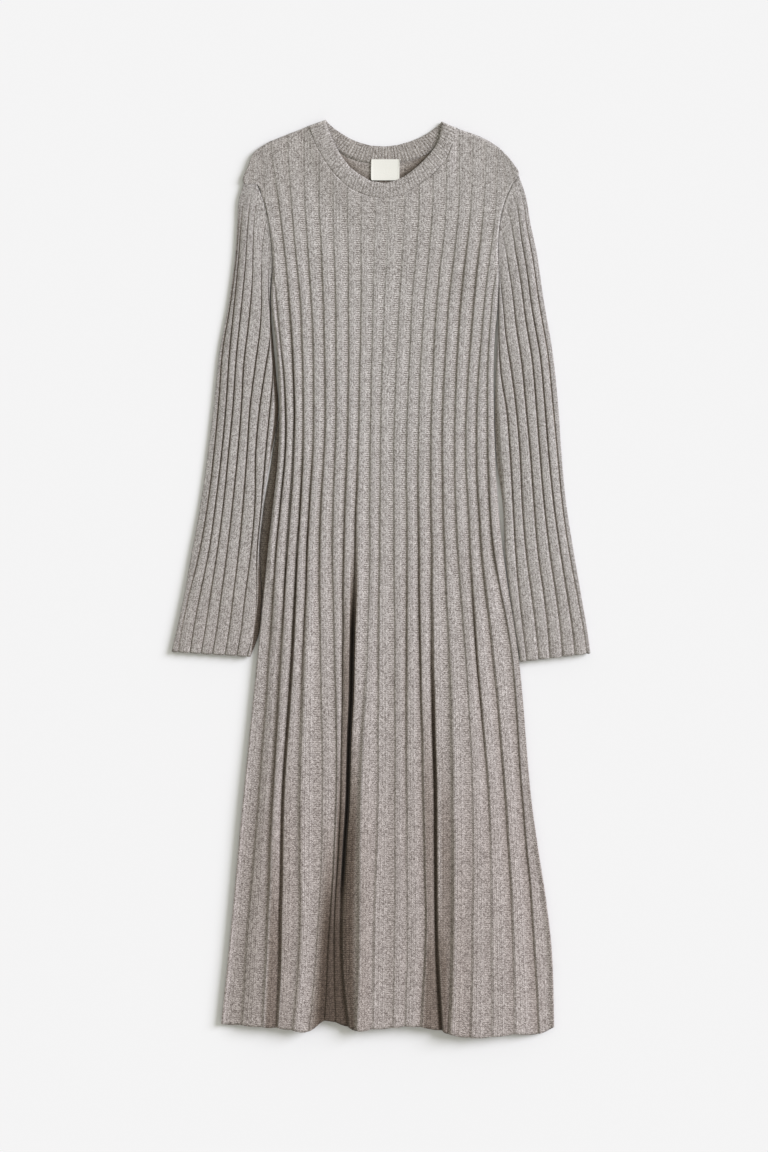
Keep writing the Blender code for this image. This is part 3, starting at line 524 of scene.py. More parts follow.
@dataclass(frozen=True)
class HeatherWool:
    """Woollen-spun heather yarn, knitted: matt, hairy, with light and dark fibres mixed in it.

    The stitches are drawn from the piece's stitch map, which holds metres of cloth: U across the
    wales and V along them. One attribute holds the shade painted at a place, in its grooves, folds
    and other shaded spots, with a painted highlight where it is below zero; the purl attribute says
    which face of the knitting it shows.
    """
    name: str = "wool_rib_knit"
    light_fibre: str = "#d9d5d1"
    dark_fibre: str = "#756e69"
    skirt_tint: str = "#f6f0ef"  # the skirt's colour is a shade warmer and darker than the bodice's
    skirt_from: float = 0.40  # metres of cloth down, from where it turns warmer
    skirt_full: float = 0.95
    painted_shade_warmth: tuple = (0.88, 1.0, 1.14)  # painted shade turns brown, as light that bounces in wool does
    painted_shade_floor: float = 0.02  # the least light that painted shade leaves
    roughness: float = 0.95
    specular: float = 0.2
    sheen: float = 0.12
    sheen_roughness: float = 0.6
    stitch_relief: float = 0.55  # millimetres from the yarn's crown to the gap beside it
    relief_strength: float = 0.7
    drift_size: float = 9.0  # millimetres over which the stitches wander
    fibre_size: float = 0.55  # millimetres: real fibre is finer, and would not show
    fleck_size: float = 1.0  # millimetres: the darkest and lightest flecks
    blotch_size: float = 26.0  # millimetres over which the yarn's tone changes

    def make(self) -> Material:
        """Build the material.

        Returns:
            The material.
        """
        material, tree = new_material(self.name)
        cloth = add_node(tree, "ShaderNodeUVMap", uv_map="stitches")
        parts = add_node(tree, "ShaderNodeSeparateXYZ", (cloth,)).outputs
        skirt = add_node(tree, "ShaderNodeMapRange", (parts[1], self.skirt_from, self.skirt_full))
        purl, painted_shade = (add_node(tree, "ShaderNodeAttribute", attribute_name=name).outputs["Fac"]
                        for name in ("purl", "painted_shade"))
        wales, courses = self.stitch_grid(tree, cloth, parts)
        slant, knit, bars = self.faces(tree, wales, courses)
        height = add_node(tree, MIX, {0: purl, 2: knit, 3: bars}, data_type="FLOAT")
        yarn = self.heather(tree, cloth, wales, slant, height)

        # Lines that show from afar, painted light and shade of the stitches' relief: down each wale
        # on the knit side, across on the purl side, which is also painted a little darker.
        tick = add_node(tree, MATH, (courses, TAU), operation="MULTIPLY")
        tick = add_node(tree, MATH, (tick,), operation="SINE")
        chain = add_node(tree, MATH, (wales, TAU), operation="MULTIPLY")
        chain = add_node(tree, MATH, (chain,), operation="COSINE")
        chain = add_node(tree, MATH, (chain, 0.08), operation="MULTIPLY")
        depth = add_node(tree, MATH, (skirt, -0.2, 0.3), operation="MULTIPLY_ADD")
        rungs = add_node(tree, MATH, (tick, depth, -0.05), operation="MULTIPLY_ADD")
        drawn = add_node(tree, MIX, {0: purl, 2: chain, 3: rungs}, data_type="FLOAT")
        tone = add_node(tree, MATH, (yarn, drawn), operation="ADD")
        colour = add_node(tree, MIX, {0: tone, 6: linear_colour(self.dark_fibre),
                                      7: linear_colour(self.light_fibre)}, data_type="RGBA")
        tint = add_node(tree, MIX, {0: skirt, 6: (1.0, 1.0, 1.0, 1.0),
                                   7: linear_colour(self.skirt_tint)}, data_type="RGBA")
        # Painted shade and painted highlight, from the attribute that holds them.
        shade = self.groove_shade(tree, painted_shade, tick)
        for factor in (tint.outputs[2], shade):
            colour = add_node(tree, MIX, {0: 1.0, 6: colour.outputs[2], 7: factor},
                              data_type="RGBA", blend_type="MULTIPLY")
        fibre = add_node(tree, NOISE, {"Vector": cloth, "Scale": 1.0 / (self.fibre_size * MM),
                                       "Detail": 3.0, "Roughness": 0.7}, noise_dimensions="2D")
        relief = add_node(tree, MATH, (fibre, 0.35, height), operation="MULTIPLY_ADD")
        bump = add_node(tree, "ShaderNodeBump", {"Strength": self.relief_strength, "Height": relief,
                                                 "Distance": self.stitch_relief * MM})
        shader = add_node(tree, SHADER, {
            "Base Color": colour.outputs[2], "Roughness": self.roughness,
            "Specular IOR Level": self.specular, "Sheen Weight": self.sheen,
            "Sheen Roughness": self.sheen_roughness, "Normal": bump})
        add_node(tree, "ShaderNodeOutputMaterial", (shader,))
        return material

    def stitch_grid(self, tree: Tree, cloth: Node, parts: Sequence[Socket]) -> list[Node]:
        """Number the stitches. Yarn never lies quite evenly, so the grid is bent a little.

        Args:
            tree: The material's tree.
            cloth: The stitch map.
            parts: Its two coordinates.

        Returns:
            The number of the wale and of the course at a place, with its share of the next.
        """
        drift = add_node(tree, NOISE, {"Vector": cloth, "Scale": 1.0 / (self.drift_size * MM),
                                       "Detail": 2.0}, noise_dimensions="2D")
        drift = add_node(tree, "ShaderNodeSeparateColor", (drift.outputs["Color"],)).outputs
        numbers = []
        for k, (size, stray) in enumerate(((WALE, 0.3), (COURSE, 0.5))):
            even = add_node(tree, MATH, (parts[k], size * MM), operation="DIVIDE")
            shift = add_node(tree, MATH, (drift[k], stray), operation="MULTIPLY")
            numbers.append(add_node(tree, MATH, (even, shift), operation="ADD"))
        return numbers

    def faces(self, tree: Tree, wales: Node, courses: Node) -> tuple[Node, Node, Node]:
        """Draw both faces of the knitting.

        On the knit side each wale is a column of V shapes, two legs that slant up and out. The
        purl side shows rows of short arcs, each row half a stitch from the last.

        Args:
            tree: The material's tree.
            wales: The wale at a place.
            courses: The course at a place.

        Returns:
            The number of the leg with its share of the next, and the yarn's height on the knit
            side and on the purl side.
        """
        side = add_node(tree, MATH, (wales,), operation="FRACT")
        side = add_node(tree, MATH, (side, 0.5), operation="SUBTRACT")
        side = add_node(tree, MATH, (side,), operation="ABSOLUTE")
        slant = add_node(tree, MATH, (side, 1.3, courses), operation="MULTIPLY_ADD")
        leg = add_node(tree, MATH, (slant, 0.5), operation="PINGPONG")
        leg = add_node(tree, MATH, (leg, 2.0), operation="MULTIPLY")
        leg = add_node(tree, MATH, (leg, 0.5), operation="POWER")
        width = add_node(tree, MATH, (side, 4.0, -1.0), operation="MULTIPLY_ADD")
        width = add_node(tree, MATH, (width,), operation="ABSOLUTE")
        width = add_node(tree, MATH, (1.0, width), operation="SUBTRACT")
        width = add_node(tree, MATH, (width, 0.6), operation="POWER")
        knit = add_node(tree, MATH, (leg, width), operation="MULTIPLY")

        row = add_node(tree, MATH, (courses,), operation="FLOOR")
        arc = add_node(tree, MATH, (row, 0.5, wales), operation="MULTIPLY_ADD")
        arc = add_node(tree, MATH, (arc, TAU), operation="MULTIPLY")
        arc = add_node(tree, MATH, (arc,), operation="SINE")
        bar = add_node(tree, MATH, (arc, 0.12, courses), operation="MULTIPLY_ADD")
        bar = add_node(tree, MATH, (bar, 0.5), operation="PINGPONG")
        bar = add_node(tree, MATH, (bar, 2.0), operation="MULTIPLY")
        bar = add_node(tree, MATH, (bar, 0.6), operation="POWER")
        crown = add_node(tree, MATH, (arc, 0.18, 0.82), operation="MULTIPLY_ADD")
        return slant, knit, add_node(tree, MATH, (bar, crown), operation="MULTIPLY")

    def heather(self, tree: Tree, cloth: Node, wales: Node, slant: Node, height: Node) -> Node:
        """Give every leg of yarn a tone of its own, with flecks and blotches over it.

        Args:
            tree: The material's tree.
            cloth: The stitch map.
            wales: The wale at a place.
            slant: The leg at a place.
            height: The yarn's height, which paints its crown lighter and its sides darker.

        Returns:
            The share of light fibre.
        """
        halves = []
        for number in (wales, slant):
            half = add_node(tree, MATH, (number, 2.0), operation="MULTIPLY")
            halves.append(add_node(tree, MATH, (half,), operation="FLOOR"))
        cell = add_node(tree, "ShaderNodeCombineXYZ", tuple(halves))
        leg = add_node(tree, "ShaderNodeTexWhiteNoise", {"Vector": cell}, noise_dimensions="2D")
        place = add_node(tree, "ShaderNodeTexCoord").outputs["Object"]
        grain = add_node(tree, "ShaderNodeTexVoronoi", {
            "Vector": place, "Scale": 1.0 / (self.fleck_size * MM)}, voronoi_dimensions="3D")
        fleck = add_node(tree, "ShaderNodeSeparateColor", (grain.outputs["Color"],))
        blotch = add_node(tree, NOISE, {"Vector": cloth, "Scale": 1.0 / (self.blotch_size * MM),
                                        "Detail": 3.0, "Roughness": 0.6}, noise_dimensions="2D")
        tone = add_node(tree, MATH, (fleck, 0.72), operation="MULTIPLY")
        tone = add_node(tree, MATH, (leg, 0.40, tone), operation="MULTIPLY_ADD")
        # The yarn's height paints its crown lighter and its sides darker, as painted light and
        # shade; the blotches change the tone at random.
        for source, share, middle in ((height, 0.30, -0.26), (blotch, 0.10, -0.05)):
            more = add_node(tree, MATH, (source, share, middle), operation="MULTIPLY_ADD")
            tone = add_node(tree, MATH, (tone, more), operation="ADD")
        return tone

    def groove_shade(self, tree: Tree, painted_shade: Socket, tick: Node) -> Node:
        """Darken the grooves: hairs close over them, so they show as lines broken by courses.

        Args:
            tree: The material's tree.
            painted_shade: The shade painted at a place; below zero, a painted highlight.
            tick: A wave with one turn to each course.

        Returns:
            The colour of the light that is left.
        """
        # Paint the shade into the colour, in grooves, folds and other shaded spots, and a highlight
        # where it is below zero; where the shade is light, the courses break it into lines.
        rungs = add_node(tree, MATH, (tick, 0.4, -0.2), operation="MULTIPLY_ADD")
        shallow = add_node(tree, MATH, (1.0, painted_shade), operation="SUBTRACT")
        ladder = add_node(tree, MATH, (rungs, shallow, 1.0), operation="MULTIPLY_ADD")
        dark = add_node(tree, MATH, (painted_shade, ladder), operation="MULTIPLY")
        left = add_node(tree, MATH, (dark, -1.0, 1.0), operation="MULTIPLY_ADD")
        left = add_node(tree, MATH, (left, self.painted_shade_floor), operation="MAXIMUM")
        return add_node(tree, "ShaderNodeCombineXYZ", {
            k: add_node(tree, MATH, (left, power), operation="POWER")
            for k, power in enumerate(self.painted_shade_warmth)})


@dataclass(frozen=True)
class WovenTape:
    """Polyester label tape in a close satin weave: smooth, slightly bright, off-white."""
    name: str = "woven_label_satin"
    colour: str = "#e9e8e0"
    shade: str = "#d2d0c6"
    thread: float = 0.5  # millimetres: real threads are 0.2 mm apart, too fine to show
    roughness: float = 0.55
    specular: float = 0.4

    def make(self) -> Material:
        """Build the material: threads that float over four others, with thin gaps between.

        Returns:
            The material.
        """
        material, tree = new_material(self.name)
        place = add_node(tree, "ShaderNodeTexCoord").outputs["Object"]
        weave = add_node(tree, "ShaderNodeTexBrick", {
            "Vector": place, "Color1": linear_colour(self.colour),
            "Color2": linear_colour(self.colour), "Mortar": linear_colour(self.shade),
            "Scale": 1.0, "Brick Width": 4.0 * self.thread * MM, "Row Height": self.thread * MM,
            "Mortar Size": 0.08 * self.thread * MM, "Mortar Smooth": 0.6}, offset=0.5)
        height = add_node(tree, "ShaderNodeRGBToBW", (weave,))
        bump = add_node(tree, "ShaderNodeBump",
                        {"Strength": 0.4, "Distance": 0.1 * MM, "Height": height})
        shader = add_node(tree, SHADER, {
            "Base Color": weave, "Roughness": self.roughness,
            "Specular IOR Level": self.specular, "Normal": bump})
        add_node(tree, "ShaderNodeOutputMaterial", (shader,))
        return material


@dataclass(frozen=True)
class SpunThread:
    """Spun thread or yarn for sewing: matt, with its twist too fine to show."""
    name: str
    colour: str
    roughness: float = 0.8
    slub_size: float = 0.8  # millimetres over which its tone changes

    def make(self) -> Material:
        """Build the material, a quarter lighter and darker from place to place.

        Returns:
            The material.
        """
        material, tree = new_material(self.name)
        place = add_node(tree, "ShaderNodeTexCoord").outputs["Object"]
        grain = add_node(tree, NOISE, {"Vector": place, "Scale": 1.0 / (self.slub_size * MM),
                                       "Detail": 2.0})
        tone = add_node(tree, "ShaderNodeMapRange", {0: grain, 3: 0.75, 4: 1.25})
        colour = add_node(tree, "ShaderNodeHueSaturation",
                          {"Value": tone, "Color": linear_colour(self.colour)})
        shader = add_node(tree, SHADER, {"Base Color": colour, "Roughness": self.roughness})
        add_node(tree, "ShaderNodeOutputMaterial", (shader,))
        return material


@dataclass(frozen=True)
class StudioPaper:
    """Matt white background paper, with the faintest tooth."""
    name: str = "background_paper"
    colour: str = "#eeeeee"
    tooth_size: float = 2.0  # millimetres
    tooth_relief: float = 0.05  # millimetres

    def make(self) -> Material:
        """Build the material.

        Returns:
            The material.
        """
        material, tree = new_material(self.name)
        place = add_node(tree, "ShaderNodeTexCoord").outputs["Object"]
        tooth = add_node(tree, NOISE, {"Vector": place, "Scale": 1.0 / (self.tooth_size * MM),
                                       "Detail": 2.0})
        bump = add_node(tree, "ShaderNodeBump", {"Strength": 0.05, "Height": tooth,
                                                 "Distance": self.tooth_relief * MM})
        shader = add_node(tree, SHADER, {
            "Base Color": linear_colour(self.colour), "Roughness": 1.0,
            "Specular IOR Level": 0.0, "Normal": bump})
        add_node(tree, "ShaderNodeOutputMaterial", (shader,))
        return material


# ---- Meshes of cloth --------------------------------------------------------------------------


@dataclass(frozen=True)
class Placement:
    """Where the dress lies in the frame, read from the label's box."""
    across: float
    down: float

    @classmethod
    def from_frame(cls) -> "Placement":
        """Read the two shifts from where the label's node lies."""
        low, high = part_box("label")
        return cls(low[0] / MM - LABEL_ACROSS[0], high[1] / MM + LABEL_DOWN[0])

    def to_world(self, points: Array) -> Array:
        """Metres in the frame, from across, down and up in millimetres."""
        points = np.asarray(points, float)
        return np.stack([points[..., 0] + self.across, self.down - points[..., 1],
                         points[..., 2]], axis=-1) * MM


@dataclass
class ClothDraft:
    """Points, faces and stitch map of one closed piece of cloth, still in millimetres."""
    name: str
    points: list = field(default_factory=list)
    painted_shade: list = field(default_factory=list)
    purl: list = field(default_factory=list)
    faces: list = field(default_factory=list)
    maps: list = field(default_factory=list)
    count: int = 0

    def add_points(self, points: Array, painted_shade: object = 0.0, purl: object = 0.0) -> Array:
        """Add a grid of points.

        Args:
            points: The points, shaped rows x columns x 3.
            painted_shade: Shade painted on each, one value or a grid; below zero, a painted
                highlight.
            purl: Whether purl stitches show there, one value or a grid.

        Returns:
            The points' numbers, shaped rows x columns.
        """
        shape = points.shape[:2]
        self.points.append(points.reshape(-1, 3))
        self.painted_shade.append(np.broadcast_to(painted_shade, shape).reshape(-1))
        self.purl.append(np.broadcast_to(purl, shape).reshape(-1))
        ids = self.count + np.arange(shape[0] * shape[1]).reshape(shape)
        self.count += ids.size
        return ids

    def add_quads(self, ids: Array, cloth: Array) -> None:
        """Add the quads between the rows and columns of a grid of point numbers.

        Args:
            ids: Point numbers; a ring repeats its first row or column at the end.
            cloth: Stitch map at each, where a ring's last row or column has its own.
        """
        for grid, kept in ((ids, self.faces), (cloth, self.maps)):
            corners = [grid[:-1, :-1], grid[1:, :-1], grid[1:, 1:], grid[:-1, 1:]]
            quads = np.stack(corners, axis=2)
            kept.append(quads.reshape(-1, *quads.shape[2:]))

    def close_ends(self, upper: Array, lower: Array, cloth: Array) -> None:
        """Close the first and the last row between two grids of point numbers."""
        for end in (0, -1):
            self.add_quads(np.stack([upper[end], lower[end]]), np.stack([cloth[end], cloth[end]]))

    def close_sides(self, upper: Array, lower: Array, cloth: Array) -> None:
        """Close the first and the last column between two grids of point numbers."""
        for side in (0, -1):
            self.add_quads(np.stack([upper[:, side], lower[:, side]], axis=1),
                           np.stack([cloth[:, side], cloth[:, side]], axis=1))

    def add_strip(self, fine: Array, coarse: Array, matches: list[int], fine_map: Array) -> None:
        """Close the wall between a fine and a coarse chain of points.

        Args:
            fine: Point numbers of the fine chain.
            coarse: Point numbers of the coarse chain.
            matches: For each coarse point, the place in the fine chain that it faces.
            fine_map: Stitch map along the fine chain.
        """
        nearest = np.searchsorted(matches, np.arange(len(fine)), side="right") - 1
        nearest = np.clip(nearest, 0, len(coarse) - 1)
        triangles, maps = [], []
        for k in range(len(fine) - 1):
            a, b = int(nearest[k]), int(nearest[k + 1])
            triangles.append((fine[k], coarse[a], fine[k + 1]))
            maps.append((fine_map[k], fine_map[k], fine_map[k + 1]))
            if b > a:
                triangles.append((fine[k + 1], coarse[a], coarse[b]))
                maps.append((fine_map[k + 1], fine_map[k], fine_map[k + 1]))
        self.faces.append(np.array(triangles))
        self.maps.append(np.array(maps))

    def finish(self, place: Placement, material: Material) -> Piece:
        """Make the object.

        Args:
            place: Where the dress lies in the frame.
            material: The piece's material.

        Returns:
            The object, at the origin, with its place in its mesh.
        """
        points = place.to_world(np.concatenate(self.points))
        sizes = np.concatenate([np.full(len(f), f.shape[1]) for f in self.faces])
        corners = np.concatenate([f.reshape(-1) for f in self.faces])
        maps = np.concatenate([m.reshape(-1, 2) for m in self.maps]) * MM
        mesh = bpy.data.meshes.new(self.name)
        mesh.vertices.add(len(points))
        mesh.vertices.foreach_set("co", points.reshape(-1))
        mesh.loops.add(len(corners))
        mesh.loops.foreach_set("vertex_index", corners.astype(np.int32))
        mesh.polygons.add(len(sizes))
        starts = np.concatenate([[0], np.cumsum(sizes)[:-1]])
        mesh.polygons.foreach_set("loop_start", starts.astype(np.int32))
        mesh.update(calc_edges=True)
        layer = mesh.uv_layers.new(name="stitches")
        layer.uv.foreach_set("vector", maps.reshape(-1).astype(np.float32))
        for name, values in (("painted_shade", self.painted_shade), ("purl", self.purl)):
            attribute = mesh.attributes.new(name, "FLOAT", "POINT")
            attribute.data.foreach_set("value", np.concatenate(values).astype(np.float32))
        work = bmesh.new()
        work.from_mesh(mesh)
        bmesh.ops.recalc_face_normals(work, faces=work.faces[:])
        work.to_mesh(mesh)
        work.free()
        mesh.shade_smooth()
        mesh.materials.append(material)
        piece = bpy.data.objects.new(self.name, mesh)
        bpy.context.scene.collection.objects.link(piece)
        return piece


# ---- The body ---------------------------------------------------------------------------------


@dataclass
class BodyPanel:
    """What the front and the back share: one knitted panel from the shoulders to the hem."""
    place: Placement
    wool: Material
    neck: tuple = NECK_FRONT
    hem_down: float = HEM_DOWN
    hem_drop: float = 1.0  # how much of the hem's wave the panel takes
    hem_scallop: float = 0.9  # how far a rib bows out at the hem
    rib_shares: tuple = (0.0, 0.045, 0.09, 0.15, 0.23, 0.34, 0.45, 0.55, 0.63, 0.71, 0.80, 0.89,
                         0.955)
    rows: int = 312
    seed: int = 11
    stray: float = 0.45  # how far a groove wanders
    stray_levels: tuple = (20.0, 160.0)  # from none to all of it, near the shoulders
    bent_ribs: float = 3.0  # ribs that bend round each armhole
    straight_below: float = 60.0  # below the underarm

    def __post_init__(self) -> None:
        """Lay the panel out."""
        self.columns = np.array([rib + share for rib in range(LAST_GROOVE)
                                 for share in self.rib_shares] + [LAST_GROOVE])
        self.row_knots = np.array([row.share * UNDERARM_DOWN for row in YOKE_ROWS]
                                  + list(BODY_ROWS_DOWN))
        self.fine_knots = np.linspace(0.0, self.row_knots[-1], self.rows)
        self.plan = self.lay_out()
        self.from_left = self.plan[..., 0] - self.plan[:, :1, 0]
        self.from_right = self.plan[:, -1:, 0] - self.plan[..., 0]
        self.edge_distance = np.minimum(self.from_left, self.from_right)
        self.from_top = self.plan[..., 1] - self.plan[:1, :, 1]
        self.at_neck = np.zeros(len(self.columns), bool)
        self.at_neck[self.neck_columns] = True
        rolls = [row.roll for row in YOKE_ROWS] + [1.0] * len(BODY_ROWS_DOWN)
        self.roll = np.interp(self.fine_knots, self.row_knots, rolls)[:, None]

    def across_at(self, columns: Array, down: Array) -> Array:
        """Find where the columns run.

        Args:
            columns: Each column, as a groove's number with its share of the way to the next.
            down: A level for each.

        Returns:
            The place of each across the body.
        """
        table = smooth(LEVELS, np.array(GROOVES, float).T, down)
        left = np.clip(columns.astype(int), 0, LAST_GROOVE - 1)
        share = columns - left
        picks = np.arange(len(columns))
        return table[picks, left] * (1.0 - share) + table[picks, left + 1] * share

    def top_line(self) -> tuple[Array, Array]:
        """Set every column's top end on the shoulders and the neck seam.

        Returns:
            The place of each across and down.
        """
        seam = [(point[0], point[1]) for point in self.neck]
        outline = np.array(list(LEFT_SHOULDER[:-1]) + seam + list(RIGHT_SHOULDER[1:]))
        across = self.across_at(self.columns, np.full(len(self.columns), float(LEVELS[0])))
        self.corners = []
        for corner in (LEFT_SHOULDER[-1][0], RIGHT_SHOULDER[0][0]):
            nearest = int(np.argmin(np.abs(across - corner)))
            across[nearest] = corner
            self.corners.append(nearest)
        self.neck_columns = slice(self.corners[0], self.corners[1] + 1)
        return across, np.interp(across, outline[:, 0], outline[:, 1])

    def lay_out(self) -> Array:
        """Draw the panel's plan.

        Returns:
            Across and down of every column, row by row.
        """
        columns = self.columns
        top_across, top_down = self.top_line()
        top_shift = top_across - self.across_at(columns, top_down)
        near_left = np.clip(1.0 - columns / LEFT_RIBS_DRAWN_IN, 0.0, 1.0)
        near_right = np.clip(1.0 - (LAST_GROOVE - columns) / RIGHT_RIBS_DRAWN_IN, 0.0, 1.0)
        plan = []
        for row in YOKE_ROWS:
            down = top_down + row.share * (UNDERARM_DOWN - top_down)
            across = self.across_at(columns, down) + top_shift * (1.0 - row.share) ** 3
            points = np.stack([across, down], axis=1)
            left = np.array([row.left_across, row.left_down]) - points[0]
            right = np.array([row.right_across, row.right_down]) - points[-1]
            plan.append(points + near_left[:, None] * left + near_right[:, None] * right)
        drops = smooth(np.arange(len(GROOVES)), np.array(HEM_DROPS, float), columns)
        drops = drops + self.hem_scallop * np.sin(math.pi * (columns % 1.0))
        for level in BODY_ROWS_DOWN:
            level = min(level, self.hem_down)
            wave = self.hem_drop * float(ease(HEM_WAVE_FROM, HEM_DOWN, level))
            across = self.across_at(columns, np.full(len(columns), float(level)))
            plan.append(np.stack([across, level + wave * drops], axis=1))
        fine = smooth(self.row_knots, np.array(plan), self.fine_knots)
        fine[..., 0] += self.straying()
        return fine

    def straying(self) -> Array:
        """Let each groove wander a little; the panel's edges stay where they are.

        Returns:
            How far each point moves across.
        """
        grooves = np.arange(LAST_GROOVE + 1)
        wander = unevenness(self.seed, (self.rows, LAST_GROOVE + 1), (26, LAST_GROOVE + 1))
        wander[:, (0, -1)] = 0.0
        wander *= ease(*self.stray_levels, self.fine_knots)[:, None]
        return self.stray * np.array([np.interp(self.columns, grooves, row) for row in wander])

    def rib_place(self) -> tuple[Array, Array]:
        """Find which rib each point is on.

        The columns run along the grooves, apart from the few that bend round the armholes. There
        the grooves run on straight under the seam, so their place is read from the table.

        Returns:
            The rib's number with the share of the way to the next groove, and the rib's width.
        """
        across, down = self.plan[..., 0], self.plan[..., 1]
        lines = smooth(LEVELS, np.array(GROOVES, float).T, down.reshape(-1))
        widths = np.maximum(np.diff(lines, axis=1), 1.0)
        passed = (across.reshape(-1, 1) - lines[:, :-1]) / widths
        straight = np.clip(passed, 0.0, 1.0).sum(axis=1)
        straight += np.minimum(passed[:, 0], 0.0) + np.maximum(passed[:, -1] - 1.0, 0.0)
        straight = straight.reshape(across.shape)
        bent = np.minimum(self.columns, LAST_GROOVE - self.columns) < self.bent_ribs
        above = 1.0 - ease(UNDERARM_DOWN, UNDERARM_DOWN + self.straight_below,
                           self.fine_knots)[:, None]
        ribs = self.columns + (straight - self.columns) * bent * above
        number = np.clip(np.floor(ribs).astype(int), 0, LAST_GROOVE - 1)
        width = np.take_along_axis(widths.reshape(*across.shape, -1), number[..., None], 2)
        return ribs, width[..., 0]

    def stitch_map(self, ribs: Array) -> Array:
        """Stitch map: every rib keeps its wales all the way down, and they open with it."""
        return np.stack([ribs * WALES_PER_RIB * WALE, self.plan[..., 1]], axis=-1)


@dataclass
class FrontPanel(BodyPanel):
    """Front: ribs raised over a plain inside, and the skirt's folds."""
    rib_rise: tuple = (1.3, 1.4, 1.8, 2.0, 1.9, 1.8, 1.7, 1.6, 1.5)  # at each of the levels
    least_rise: float = 0.15  # share of it where a rib isn't drawn in
    rise_side: tuple = (-0.04, 0.15)  # where a rib rises beside its groove
    fall_side: tuple = (0.46, 0.88)  # where it falls to its purl stitches
    groove_side: tuple = (0.76, 1.0)  # and where these fall to a groove
    crown_rise: float = 0.06  # how much rounder than flat its top is
    crown_end: float = 0.62
    groove_dip: float = 0.3  # how far a groove lies below them
    crease_depth: float = 0.9
    crease_width: float = 0.5
    crease_spread: float = 0.3  # how much wider a strong one is
    side_roll: float = 1.6  # reach of the rounded edge at the two sides
    seam_margin: float = 7.0  # how far in from the sides the creases begin
    waist_reach: float = 3.5  # how far in the cloth stands off the back
    skirt_reach: tuple = (56.0, 80.0)  # the same in the skirt, at its left and right
    skirt_loose: tuple = (560.0, 740.0)
    neck_corner: tuple = (-4.0, 8.0)  # where the band lifts the cloth
    side_pad: float = 0.8  # how far a side seam pads the edge out
    skirt_pad: float = 1.8  # how much more it does so in the skirt
    skirt_pad_levels: tuple = (720.0, 960.0)
    pad_width: float = 5.0
    fold_end: float = 160.0  # over which a fold dies out
    # Painted highlight on a pleat's crest.
    crest_light: float = 0.09  # how light a pleat's crest is, for each millimetre
    crest_in: float = 0.8  # how far in from its edge the crest lies
    uneven_fine: float = 0.10
    uneven_slow: float = 0.28
    # Painted shade: the most in a groove outside the folds, and on a rib's side that faces from the
    # light.
    shade_most: float = 0.85  # the darkest that a groove outside the folds gets
    far_side_shade: float = 0.30  # of a rib's side that faces from the light

    def crease_weight(self, ribs: Array) -> Array:
        """Read how strongly the cloth is drawn in.

        Args:
            ribs: Rib number with its share, per point.

        Returns:
            The strength at each point, between those of the grooves beside it.
        """
        down = self.plan[..., 1]
        table = np.stack([np.interp(down, CREASE_LEVELS, row) for row in CREASES], axis=-1)
        number = np.clip(np.floor(ribs).astype(int), 0, LAST_GROOVE - 1)[..., None]
        share = np.clip(ribs - number[..., 0], 0.0, 1.0)
        left = np.take_along_axis(table, number, 2)[..., 0]
        right = np.take_along_axis(table, number + 1, 2)[..., 0]
        return left * (1.0 - share) + right * share

    def lift(self, ribs: Array) -> tuple[Array, Array]:
        """Lift the skirt's loose cloth off the back, with its folds.

        Args:
            ribs: Rib number with its share, per point.

        Returns:
            How far it lies over the bodice's level, and the shade painted in the folds.
        """
        down = self.plan[..., 1]
        lift = SKIRT_LIFT * ease(SKIRT_LIFT_FROM, SKIRT_LIFT_FULL, down)
        shade = np.zeros(down.shape)
        for fold in FOLDS:
            offset = ribs - fold.groove
            reach = np.where(offset < 0, fold.left_reach, fold.right_reach)
            shape = 0.5 + 0.5 * np.cos(math.pi * np.clip(np.abs(offset) / reach, 0.0, 1.0))
            left_over = 1.0 - ease(fold.gone - self.fold_end, fold.gone, down)
            begun = ease(fold.start, fold.full, down) * left_over
            lift = lift - fold.depth * shape * begun
            shade = np.maximum(shade, fold.shade * ease(0.0, 0.5, shape) * begun)
        return np.maximum(lift, -0.1), shade

    def pleats(self) -> tuple[Array, Array]:
        """Raise the ribs that stand over their neighbours.

        Returns:
            Their extra height, and the highlight painted on their crests.
        """
        down = self.plan[..., 1]
        total, light = np.zeros(down.shape), np.zeros(down.shape)
        for pleat in PLEATS:
            line = self.plan[:, pleat.groove * len(self.rib_shares), 0][:, None]
            offset = self.plan[..., 0] - line - pleat.offset
            begun = ease(pleat.start, pleat.full, down)
            past = offset - pleat.wall / 2.0
            tail = np.exp(-np.maximum(past, 0.0) / pleat.tail)
            total += pleat.height * ease(-pleat.wall, 0.0, past) * tail * begun
            light += self.crest_light * pleat.height * bell(past - self.crest_in, 1.0) * begun
        return total, light

    def loft(self) -> Array:
        """Set how far the bodice stands off the back.

        Returns:
            Its loft, which begins at the shoulders, but at once under the neckband.
        """
        corners = self.plan[:, self.corners, 0]
        under_band = ease(*self.neck_corner, self.plan[..., 0] - corners[:, :1])
        under_band = under_band * ease(*self.neck_corner, corners[:, 1:] - self.plan[..., 0])
        under_band = under_band * bell(self.from_top, 50.0)
        in_yoke = ease(0.1, 1.0, self.fine_knots / UNDERARM_DOWN)[:, None]
        return BODY_LOFT * np.maximum(in_yoke, under_band)

    def swell(self) -> Array:
        """Hold the loose cloth down at the side seams.

        Returns:
            The share of its height that it has at each point.
        """
        loose = ease(*self.skirt_loose, self.plan[..., 1])
        swell = np.ones(loose.shape)
        for distance, reach in zip((self.from_left, self.from_right), self.skirt_reach):
            reach = self.waist_reach + (reach - self.waist_reach) * loose
            swell = np.minimum(swell, ease(0.0, 1.0, distance / reach))
        return swell

    def fullness(self) -> Array:
        """Round the cloth off at its seams.

        Returns:
            The share of its whole thickness and ribs that it has at each point.
        """
        full = 1.0 - self.roll * (1.0 - round_over(self.edge_distance + 0.15, self.side_roll))
        shoulder = round_over(self.from_top + 0.2, 7.0)
        neck_edge = 0.9 + 0.1 * round_over(self.from_top, 3.0)
        return full * np.where(self.at_neck[None, :], neck_edge, shoulder)

